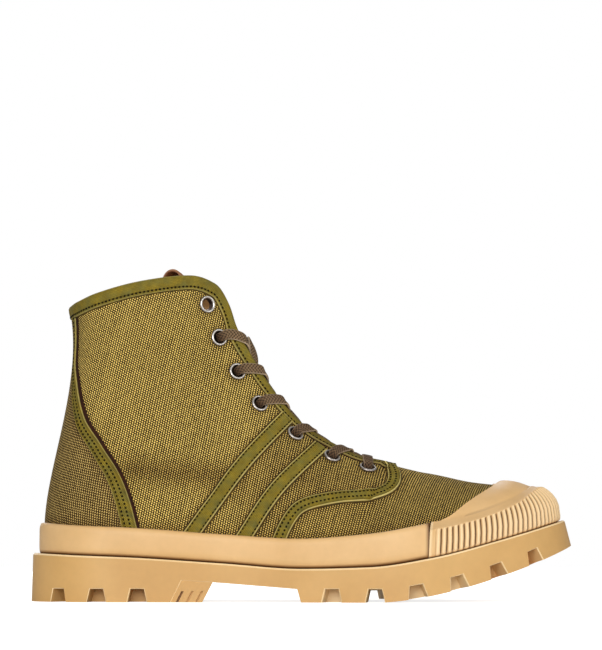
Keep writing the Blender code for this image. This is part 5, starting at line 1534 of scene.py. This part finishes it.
def crossing(side, row):  # from one eyelet across the gap to the next lower one of the other side
    begin, end = eyeletSets[side][row - 1], eyeletSets[-side][row]
    middle = (begin["edge"] + end["edge"]) / 2
    out = unit(begin["outEdge"] + end["outEdge"])
    up = unit(begin["up"] + end["up"])
    isOver = side == medial
    isHigh = isOver and row == 2
    lift = lace["topLift"] if isHigh else lace["overLift"] if isOver else lace["underLift"]
    start = overEdge(begin, lace["slant"], 1.0 if row == 2 else 0.2)
    return start + [(middle + out * lift + up * 2.5 * isHigh, up, 0.0)] + underEdge(end)


def laceRoute():
    route = []
    strand = [(lateral if row % 2 == 0 else medial, row) for row in range(2, 7)]
    for side, row in strand:
        route += crossing(side, row)
    low = {side: eyeletSets[side][6] for side in sideNames}
    out = unit(low[lateral]["outEdge"] + low[medial]["outEdge"])
    middle = (low[lateral]["edge"] + low[medial]["edge"]) / 2
    route += overEdge(low[medial], 0.0)[:-1] + [(middle + out * lace["barLift"], low[medial]["up"], 0.0)]
    route += overEdge(low[lateral], 0.0)[:-1][::-1]
    for side, row in reversed([(-side, row) for side, row in strand]):
        route += crossing(side, row)[::-1]
    return route


def makeLace():
    route = laceRoute()
    controls = np.array([[*point, *up, hole] for point, up, hole in route])
    length = lengths(pathThrough(controls, 4000)[:, :3])[-1]
    path = pathThrough(controls, int(length / lace["spacing"]))
    points, ups, hole = path[:, :3], path[:, 3:6], np.clip(path[:, 6:], 0, 1)
    tangent = unit(np.gradient(points, axis=0))
    wide = unit(ups - tangent * (ups * tangent).sum(-1, keepdims=True))
    thick = np.cross(tangent, wide)
    width = lace["width"] + (lace["holeWidth"] - lace["width"]) * hole
    depth = lace["thick"] + (lace["holeThick"] - lace["thick"]) * hole
    turn = np.linspace(0, 2 * math.pi, lace["around"], endpoint=False)
    power = 2 / lace["squareness"]
    flat = np.sign(np.cos(turn)) * np.abs(np.cos(turn)) ** power / 2
    tall = np.sign(np.sin(turn)) * np.abs(np.sin(turn)) ** power / 2
    rings = points[:, None] + wide[:, None] * (width * flat)[..., None]
    rings = rings + thick[:, None] * (depth * tall)[..., None]
    long = lengths(points)
    uv = np.stack(np.broadcast_arrays(long[:, None], flat * lace["width"]), -1).reshape(-1, 2)
    count, around = rings.shape[:2]
    faces = tubeFaces(count, around)
    faces += [list(range(around))[::-1], list(range((count - 1) * around, count * around))]
    shade = np.repeat(np.maximum(hole[:, 0], 0.45 * ease((points[:, 0] + 25) / 30)), around)
    print("lace length %.0f mm" % long[-1])
    return newPiece("lace", rings.reshape(-1, 3), faces, [looks["lace"]], uv=uv, values={"shade": shade},
                    sharp=70)


dress(makeLace(), "lace", "lace_bar", *[f"lace_cross_{k}" for k in range(1, 6)])
print("laced")


# The sole and the toe cap share where the cap ends
cap = dict(
    end=0.30,
    span=0.2994,  # the cap stops just short of the midsole's end
    lip=1.5,
    lipMargin=1.9,
    ribs=60,
    perRib=12,
    ribHeight=1.7,
    swell=0.9,
    plainEnd=0.966,  # share of the half band that has ribs
    thin=2.5,  # how much the dome thins out to its back edge
    inset=3.6,
    footRows=(  # rise, inset and how far the ribs stand
        (0.05, 1.9, 0.0), (0.3, 1.2, 0.2), (0.65, 0.55, 0.6), (1.1, 0.2, 0.9), (1.7, 0.05, 1.0),
        (2.4, 0.05, 1.0), (3.2, 0.05, 1.0),
    ),
    bandRows=((0.4, 0.0), (0.55, 0.1), (0.7, 0.35), (0.82, 0.7), (0.9, 0.95)),  # share of the band, lean
    shoulderRows=(  # share of the band, drop and how far the ribs stand
        (0.94, 0.0, 1.0), (0.965, 0.05, 0.75), (0.985, 0.15, 0.25), (1.0, 0.3, 0.0), (1.015, 0.6, 0.0),
    ),
    creaseRows=((0.3, 0.9), (0.6, 1.4), (0.85, 1.65), (1.0, 1.7)),  # share of the way to the crease, drop
    domeRows=(  # share of the way over the dome, extra stand
        (0.03, 0.1), (0.08, 0.25), (0.15, 0.3), (0.25, 0.35), (0.37, 0.4), (0.5, 0.45), (0.62, 0.5),
        (0.74, 0.5), (0.85, 0.5), (0.93, 0.5), (1.0, 0.5),
    ),
    lines=rows(
        "along bandTop crease",
        (0.000, 0.570, 0.670),
        (0.036, 0.545, 0.640),
        (0.088, 0.450, 0.530),
        (0.128, 0.350, 0.430),
        (0.182, 0.265, 0.345),
        (0.236, 0.225, 0.300),
        (0.300, 0.205, 0.285),
    ),
    back=rows(
        "over along",
        (0.00, 0.298),
        (0.06, 0.270),
        (0.24, 0.235),
        (0.47, 0.186),
        (0.56, 0.166),
        (0.80, 0.130),
        (1.00, 0.105),
    ),
    face=rows(
        "along foot ribs shoulder dome",
        (0.00, 6.3, 5.2, 5.0, 2.4),
        (0.15, 5.9, 5.5, 4.8, 2.6),
        (0.30, 5.6, 5.6, 5.0, 2.2),
    ),
)

midsole = dict(
    columns=240,
    section=(  # shares of height and margin
        (0.0, 0.50), (0.02, 0.62), (0.045, 0.76), (0.08, 0.87), (0.13, 0.94), (0.2, 0.98), (0.3, 1.0),
        (0.70, 1.0), (0.80, 0.99), (0.87, 0.96), (0.93, 0.90), (0.97, 0.82), (0.992, 0.70), (1.0, 0.56),
    ),
)


def makeMidsole():
    alongs = np.linspace(0, 1, midsole["columns"])
    alongs = np.sort(np.concatenate([alongs, cap["end"] + np.array([-0.001, 0, 0.0025, 0.006])]))
    sides, places = loopPlaces(alongs)
    plan, out = (bySide(sides, places, lambda side, at, k=k: lastPlan(side, at)[k]) for k in (0, 1))
    inCap = places < cap["end"] - 0.0005
    web = webZ(plan[:, 0])
    top = np.where(inCap, web + cap["lip"], rimZ(plan[:, 0]))
    ups = np.empty(len(places))
    for side in sideNames:
        ups[sides == side] = upsAt(side, places[sides == side], top[sides == side])
    reach = read(sole["margins"], "midsole", places)
    upright = 0.75 * ease((places - 0.9) / 0.08)  # the heel's back stands straight
    rings, shade = [], []
    for height, margin in midsole["section"]:
        margin = margin + upright * (1 - margin) * (height < 0.6)
        spot = plan + out * np.where(inCap, cap["lipMargin"], reach * margin)[:, None]
        bottom = ledgeZ(spot[:, 0]) + 0.05
        rings.append(np.concatenate([spot, (bottom + (top - bottom) * height)[:, None]], -1))
        # painted shade: a dark line along the foot of the midsole, and in the gap beside the cap's end
        jointShade = 0.85 * np.exp(-((np.maximum(places - cap["end"], 0) / 0.003) ** 2))
        shade.append(np.maximum(jointShade, max(0.0, 1.0 - (height / 0.1) ** 2)))
    clear = np.where(np.abs(places - cap["end"]) < 1e-6, 1.5, 0.02)
    # painted shade where the top meets the canvas, on the inner side and on the web
    for share, paintedDark in ((1.0, 0.5), (0.5, 1.0)):
        rings.append(offLast(sides, places, ups * share, clear))
        shade.append(np.full(len(places), paintedDark))
    rings.append(np.concatenate([plan + out * 0.3, web[:, None]], -1))
    shade.append(np.ones(len(places)))
    sections = np.stack(rings, 1)
    around, size = sections.shape[:2]
    index = np.arange(around * size).reshape(around, size)
    nextOne = np.roll(index, -1, 0)
    corners = [index[:, :-1], index[:, 1:], nextOne[:, 1:], nextOne[:, :-1]]
    faces = np.stack(corners, -1).reshape(-1, 4).tolist()
    faces += acrossFaces(index[:, 0].tolist()) + acrossFaces(index[:, -1].tolist())
    return newPiece("boot_midsole", sections.reshape(-1, 3), faces, [looks["midsoleRubber"]],
                    values={"shade": np.stack(shade, 1)}, sharp=42)


dress(makeMidsole(), "midsole_rubber", "midsole")


# Margins and lifts of the footbed's edge
insole = dict(columns=90, edge=((-2.5, 0.3), (-2.5, 2.6), (-2.9, 3.1), (-3.6, 3.35)))


def makeInsole():
    sides, places = loopPlaces(np.linspace(0, 1, insole["columns"]))
    rings = []
    for margin, lift in insole["edge"]:
        spot = bySide(sides, places, lambda side, at: planPoint(side, at, np.full(len(at), margin)))
        rings.append(np.concatenate([spot, (webZ(spot[:, 0]) + lift)[:, None]], -1))
    points = np.concatenate(rings)
    around = len(places)
    faces = tubeFaces(len(rings), around) + acrossFaces(list(range(around)))
    faces += acrossFaces(list(range((len(rings) - 1) * around, len(rings) * around)))
    return newPiece("boot_insole", points, faces, [looks["footbed"]], uv=points[:, :2])


dress(makeInsole(), "footbed", "insole")


# The toe cap: a ribbed band on the ledge and a smooth dome over the canvas
def makeCap():
    shares = np.linspace(-1, 1, cap["ribs"] * cap["perRib"] + 1)
    sides = np.where(shares <= 0, lateral, medial)
    span = cap["span"]
    thin = cap["thin"] * ease((np.abs(shares) - 0.5) / 0.5)
    swell = cap["swell"] * np.exp(-((shares / 0.6) ** 2))

    def stands(column, end=span):
        return read(cap["face"], column, np.abs(shares) * end)

    def planRow(rise, inset):
        places = np.abs(shares) * span
        spot = bySide(sides, places,
                      lambda side, at: planPoint(side, at, read(cap["face"], "foot", at) - inset))
        return np.concatenate([spot, (ledgeZ(spot[:, 0]) + rise)[:, None]], -1)

    def faceRow(end, upOf, stand):
        places = np.abs(shares) * end
        spots = sides, places, upOf(places)
        return lastPoint(*spots) + lastNormal(*spots) * stand[:, None]

    def bandRow(share, stand):
        return faceRow(span, lambda at: read(cap["lines"], "bandTop", at) * share, stand)

    def creaseRow(share, stand):
        def upOf(at):
            low, high = (read(cap["lines"], name, at) for name in ("bandTop", "crease"))
            return low * (1 - share) + high * share

        return faceRow(span + (cap["back"]["along"][0] - span) * share, upOf, stand)

    def domeRow(over, stand):
        end = float(read(cap["back"], "along", over, "over"))
        row = faceRow(end, lambda at: read(cap["lines"], "crease", at) * (1 - over) + over, stand(end))
        return (row + row[::-1]) / 2 if over == 1.0 else row

    flat = np.zeros(len(shares))
    pairs = []  # outer row, inner row, how far the ribs stand there
    for rise, inset, fade in cap["footRows"]:
        pairs.append((planRow(rise, inset), planRow(rise, cap["inset"]), fade))
    for share, lean in cap["bandRows"]:
        stand = stands("ribs") * (1 - lean) + stands("shoulder") * lean
        pairs.append((bandRow(share, stand), bandRow(share, flat + 0.4), 1.0))
    for share, drop, fade in cap["shoulderRows"]:
        pairs.append((bandRow(share, stands("shoulder") - drop), bandRow(share, flat + 0.4), fade))
    for share, drop in cap["creaseRows"]:
        stand = stands("shoulder") - drop - thin * 0.3 * share
        pairs.append((creaseRow(share, stand), creaseRow(share, flat + 0.2), 0.0))
    creaseRows = slice(len(pairs) - len(cap["creaseRows"]), len(pairs) + 1)
    for over, extra in cap["domeRows"]:
        rise = swell * ease((over - 0.2) / 0.5)
        outerRow = domeRow(over, lambda end: stands("dome", end) + extra - thin + rise)
        pairs.append((outerRow, domeRow(over, lambda end: flat + 0.05), 0.0))
    faceOut = lastNormal(sides, np.abs(shares) * span, 0.12)
    endLip = 0.5 * ease((np.abs(shares) - 0.984) / 0.006)[:, None]  # the raised edge beside the midsole
    lipped = [1.0] * 20 + [0.6, 0.2] + [0.0] * (len(pairs) - 22)
    outer = np.stack([row + faceOut * endLip * lip for (row, _, _), lip in zip(pairs, lipped)])
    inner = np.stack([row for _, row, _ in pairs])
    fades = np.array([fade for _, _, fade in pairs])
    ribbed = ease((cap["plainEnd"] - np.abs(shares)) / 0.004)
    rowCount, columnCount = outer.shape[:2]
    index = np.arange(2 * rowCount * columnCount).reshape(2, rowCount, columnCount)
    faces = gridFaces(rowCount, columnCount) + gridFaces(rowCount, columnCount, rowCount * columnCount)
    faces += np.stack([index[0, 0, :-1], index[0, 0, 1:], index[1, 0, 1:], index[1, 0, :-1]], -1).tolist()
    for column in (0, -1):
        ends = index[:, :, column]
        faces += np.stack([ends[0, :-1], ends[0, 1:], ends[1, 1:], ends[1, :-1]], -1).tolist()
    grid = np.concatenate([outer, inner])
    fades = np.concatenate([fades, np.zeros(rowCount)])
    values = {"ribCount": np.broadcast_to((shares + 1) * cap["ribs"] / 2, grid.shape[:2]),
              "ribFade": fades[:, None] * ribbed}
    # painted shade in the grooves between ribs, along the crease and along the foot
    wave = np.abs(np.sin(values["ribCount"] * math.pi))
    shade = 1.5 * values["ribFade"] * (1 - wave) ** 3
    shade[creaseRows] += 0.1
    shade[:3] = np.maximum(shade[:3], [[1.0], [0.8], [0.3]])
    values["shade"] = shade
    # painted highlight on the raised end beside the midsole and on the ribs' crowns
    rim = 0.8 * ease((np.abs(shares) - 0.982) / 0.006) * np.array(lipped * 2)[:, None]
    values["rim"] = np.maximum(rim, values["ribFade"] * wave**1.5)
    plain = newPiece("capPlain", grid.reshape(-1, 3), faces, [looks["midsoleRubber"]], values=values,
                     sharp=50, merge=0.0001)
    piece = runTree("boot_toe_cap", plain.data, trees["ribs"],
                    {"Height": cap["ribHeight"] * mm, "Roundness": 0.6, "Finish": looks["midsoleRubber"]})
    bpy.data.objects.remove(plain, do_unlink=True)
    return piece


dress(makeCap(), "midsole_rubber", "toe_cap")
print("toe capped")


# The lugged outsole
outsole = dict(
    columns=130,
    chamfer=0.5,
    topChamfer=0.85,
    notches=rows("x depth", (-129.0, 13), (-108.0, 13), (-86.4, 13), (16.0, 13), (38.6, 20), (61.2, 13),
                 (83.2, 13), (104.5, 13), (125.0, 12)),
    notchBottom=10.3,
    notchTop=7.0,
    notchHeight=7.0,
    insideEnds=(0, 90),  # where the finish of the notches' insides changes: plain rubber, then the paler copies that paint light into them
    insideLooks=(0, 1, 3),
    arch=((-52.4, -1.0), (-46.4, 10.5), (-2.0, 7.0), (0.25, -1.0)),
    archSlants=((-60, -0.5), (60, 3)),  # how far the heel's front moves at each side
    hollows=((-126, -64), (8, 114)),
    hollowDepth=6.0,
    hollowBorder=16.0,
    lugs=rows("start end share", (-117, -99, 0.72), (-93, -79, 0.72), (11, 32, 0.70), (46, 70, 0.70),
              (76, 91, 0.70), (97, 110, 0.66)),
    gripPanel=((-69.6, -2.0), (-62.9, 11.4), (-46.4, 10.4), (-44.0, 10.1), (-44.0, -2.0)),
    gripSlots=((-65.3, 2), (-60.0, 0), (-55.0, 0)),  # where each meets the ground, and its finish; the first has the darker copy, painted shade
    gripLean=0.5,
    gripWidth=1.3,
    gripDepth=1.1,
    gripHigh=5.8,
)
# finish 1 is a painted highlight, 2 painted shade and 3 painted light; 0 is the plain rubber
outsoleLooks = [looks["outsole" + name] for name in ("Rubber", "Rim", "Shadowed", "Inside")]
outsoleAlongs = np.linspace(0, 1, outsole["columns"])
bottomMargin = read(sole["margins"], "outsoleBottom", outsoleAlongs)
bottomEdge = {side: planPoint(side, outsoleAlongs, bottomMargin) for side in sideNames}


def bottomY(side, x):
    line = bottomEdge[side][::-1]
    return float(np.interp(x, line[:, 0], line[:, 1]))


def loft(rings, steps, ends=0):  # a closed solid through rings of points, with the finishes between them
    count, size = len(rings), len(rings[0])
    faces = tubeFaces(count, size)
    faces += [list(range(size)), list(range(count * size - 1, (count - 1) * size - 1, -1))]
    return np.concatenate(rings), faces, [look for look in steps for _ in range(size)] + [ends, ends]


def notch(side, x, depth):  # square to the outline and to the slope of the ground, its mouth chamfered
    along = float(np.interp(x, bottomEdge[side][::-1, 0], outsoleAlongs[::-1]))
    out = np.array([*lastPlan(side, along)[1], 0])
    slope = float(groundZ(x + 1) - groundZ(x - 1)) / 2
    forward = np.array([out[1] * side, -out[0] * side, 0])
    forward[2] = slope * forward[0]
    forward = unit(forward)
    upward = np.cross(forward, -out * side)
    upward *= math.copysign(1, upward[2])
    batter = read(sole["margins"], "outsoleBottom", along) - read(sole["margins"], "outsoleTop", along)
    upward = upward - out * batter / float(ledgeZ(x) - groundZ(x))
    inside = outsole["insideLooks"][int(np.searchsorted(outsole["insideEnds"], x))]
    foot = np.array([x, bottomY(side, x), float(groundZ(x))])
    flare = (outsole["notchBottom"] - outsole["notchTop"]) / 2 / outsole["notchHeight"]
    low, high, chamfer = -1.5, outsole["notchHeight"], outsole["chamfer"]
    halfLow, halfTop = outsole["notchBottom"] / 2 - flare * low, outsole["notchTop"] / 2

    def ring(reach, grow):
        wide, narrow, top = halfLow + grow, halfTop + grow, high + grow
        profile = ((-wide, low), (wide, low), (narrow, top), (-narrow, top))
        return np.array([foot + forward * a + upward * b + out * reach for a, b in profile])

    # the chamfer band takes finish 1, a painted highlight
    mouth = [ring(6, 2 * chamfer), ring(chamfer, 2 * chamfer), ring(-chamfer, 0)]
    return loft(mouth + [ring(-depth, 0)], (0, 1, inside), inside)


def crossRing(x, share, low, high):
    ys = [bottomY(side, x) - side * outsole["hollowBorder"] for side in sideNames]
    middle, half = sum(ys) / 2, (ys[1] - ys[0]) / 2 * share
    left, right = middle - half, middle + half
    return np.array([(x, left, low), (x, right, low), (x, right, high), (x, left, high)])


def hollow(start, end, stations=7):
    rings = [crossRing(x, 1.0, -4.0, float(groundZ(x)) + outsole["hollowDepth"])
             for x in np.linspace(start, end, stations)]
    return loft(rings, [0] * (stations - 1))


def lug(start, end, share):
    return loft([crossRing(x, share, float(groundZ(x)), float(groundZ(x)) + 8) for x in (start, end)], [0])


def archCut():
    rings = [np.array([(x - slant * (x < -40), y, z) for x, z in outsole["arch"]])
             for y, slant in outsole["archSlants"]]
    # the arch's cut faces take finish 1, the paler copy: painted light
    return loft(rings, [1])


def wallRing(profile, reach):  # a line of the side view set off the lateral wall
    return np.array([(x, bottomY(lateral, x) + 0.03 * z - reach, z) for x, z in profile])


def gripPanel():
    panel = outsole["gripPanel"]
    wider = [(x - grow, z + rise) for (x, z), grow, rise in zip(panel, (1, 1, 0, 0, 0), (0, 1, 1, 0, 0))]
    # the panel's inner faces take finish 1, the paler copy: painted light
    return loft([wallRing(wider, 4), wallRing(wider, 0.5), wallRing(panel, -0.5)], [0, 1])


def gripSlot(x, look):
    half, lean, high = outsole["gripWidth"] / 2, outsole["gripLean"], outsole["gripHigh"]
    profile = [(x + a + lean * z, z) for a, z in ((-half, -2), (half, -2), (half, high), (-half, high))]
    return loft([wallRing(profile, 4), wallRing(profile, -0.5 - outsole["gripDepth"])], [look], look)


def joined(name, solids):
    points, faces, faceLook = [], [], []
    for partPoints, partFaces, partLooks in solids:
        faces += [[i + len(points) for i in face] for face in partFaces]
        points += [tuple(p) for p in partPoints]
        faceLook += partLooks
    return newPiece(name, points, faces, outsoleLooks, faceLook=faceLook)


def makeOutsole():
    sides, places = loopPlaces(outsoleAlongs)
    chamfer = outsole["topChamfer"]
    rings = []
    for column, height, inset, drop in (("outsoleBottom", groundZ, 0, 0),
                                        ("outsoleTop", ledgeZ, 0, chamfer),
                                        ("outsoleTop", ledgeZ, chamfer, 0)):
        spot = bySide(sides, places,
                      lambda side, at: planPoint(side, at, read(sole["margins"], column, at) - inset))
        rings.append(np.concatenate([spot, height(spot[:, 0])[:, None] - drop], -1))
    around = len(places)
    caps = acrossFaces(list(range(around))), acrossFaces(list(range(2 * around, 3 * around)))
    faces = tubeFaces(3, around) + caps[0] + caps[1]
    # the top chamfer takes finish 1, a painted highlight
    faceLook = [0] * around + [1] * around + [0] * (len(caps[0]) + len(caps[1]))
    body = newPiece("outsoleBody", np.concatenate(rings), faces, outsoleLooks, faceLook=faceLook)
    cuts = [archCut()]
    for side in sideNames:
        cuts += [notch(side, x, depth) for x, depth in zip(*outsole["notches"].values())]
    steps = (
        ("hollows", [hollow(*ends) for ends in outsole["hollows"]], "DIFFERENCE"),
        ("middleLugs", [lug(*row) for row in zip(*outsole["lugs"].values())], "UNION"),
        ("sideCuts", cuts, "DIFFERENCE"),
        ("gripPanel", [gripPanel()], "DIFFERENCE"),
        ("gripSlots", [gripSlot(*slot) for slot in outsole["gripSlots"]], "DIFFERENCE"),
    )
    tools = []
    for name, solids, operation in steps:
        tools.append(joined(name, solids))
        modifier = body.modifiers.new(name, "BOOLEAN")
        modifier.operation, modifier.object, modifier.solver = operation, tools[-1], "EXACT"
    bpy.context.view_layer.update()
    mesh = bpy.data.meshes.new_from_object(body.evaluated_get(bpy.context.evaluated_depsgraph_get()))
    for tool in tools + [body]:
        bpy.data.objects.remove(tool, do_unlink=True)
    mesh.name = "boot_outsole"
    form = bmesh.new()
    form.from_mesh(mesh)
    bmesh.ops.dissolve_degenerate(form, dist=0.02 * mm, edges=form.edges)
    form.to_mesh(mesh)
    form.free()
    mesh.shade_smooth()
    mesh.set_sharp_from_angle(angle=math.radians(32))
    piece = bpy.data.objects.new("boot_outsole", mesh)
    bpy.context.scene.collection.objects.link(piece)
    return piece


dress(makeOutsole(), "outsole_rubber", "outsole")
print("outsole cut")


# Floor, light and camera
stage = dict(
    floorSize=6.0,
    floorColour=(0.7, 0.697, 0.69, 1.0),
    floorGlow=0.8,
    worldLight=0.36,
    aim=(0, 0, 0.07),
    lamps=(  # name, place, size and power
        ("key", (-0.35, -1.95, 0.62), 1.1, 22.0),
        ("front", (0.2, -2.1, 0.2), 1.0, 6.0),
        ("fill", (1.5, -1.2, 0.7), 1.4, 9.0),
        ("far", (-0.3, 1.8, 0.9), 1.4, 12.0),
        ("top", (0.1, 0.4, 1.8), 1.4, 1.0),
    ),
)


def makeStage():
    scene = bpy.context.scene
    scene.view_settings.view_transform = "Standard"
    half = stage["floorSize"] / 2
    mesh = bpy.data.meshes.new("floor")
    mesh.from_pydata([(-half, -half, 0), (half, -half, 0), (half, half, 0), (-half, half, 0)], [],
                     [(0, 1, 2, 3)])
    floor = bpy.data.objects.new("floor", mesh)
    scene.collection.objects.link(floor)
    finish, tree, inputs = newFinish("floorPaper", Roughness=0.9)
    pale = stage["floorColour"]
    paper = mixColours(tree, noise(tree, objectMap(tree), 6.0), pale, tuple(v * 0.99 for v in pale))
    plug(tree, paper, inputs["Base Color"])
    seen = node(tree, "ShaderNodeLightPath").outputs["Is Camera Ray"]
    glow = (stage["floorGlow"],) * 3 + (1.0,)
    plug(tree, mixColours(tree, seen, (0.0, 0.0, 0.0, 1.0), glow), inputs["Emission Color"])
    inputs["Emission Strength"].default_value = 1.0
    mesh.materials.append(finish)
    world = bpy.data.worlds.new("studio")
    scene.world = world
    world.use_nodes = True
    tree = world.node_tree
    seen = node(tree, "ShaderNodeLightPath").outputs["Is Camera Ray"]
    level = node(tree, "ShaderNodeMapRange", {"Value": seen, "To Min": stage["worldLight"], "To Max": 1.0})
    plug(tree, level.outputs[0], tree.nodes["Background"].inputs["Strength"])
    tree.nodes["Background"].inputs["Color"].default_value = (1.0, 1.0, 1.0, 1.0)
    for name, spot, size, power in stage["lamps"]:
        lamp = bpy.data.lights.new(name, "AREA")
        lamp.energy, lamp.size = power, size
        holder = bpy.data.objects.new(name, lamp)
        holder.location = spot
        holder.rotation_euler = (Vector(stage["aim"]) - Vector(spot)).to_track_quat("-Z", "Y").to_euler()
        scene.collection.objects.link(holder)


view = dict(x=-0.00075, distance=1.4, height=0.0265, pitch=5.04, lens=142.4, sensor=36)


def makeCamera():
    data = bpy.data.cameras.new("camera")
    data.lens, data.sensor_width = view["lens"], view["sensor"]
    camera = bpy.data.objects.new("camera", data)
    camera.location = (view["x"], -view["distance"], view["height"])
    camera.rotation_euler = (math.radians(90 + view["pitch"]), 0, 0)
    bpy.context.scene.collection.objects.link(camera)
    bpy.context.scene.camera = camera


makeStage()
makeCamera()
print("stage set")
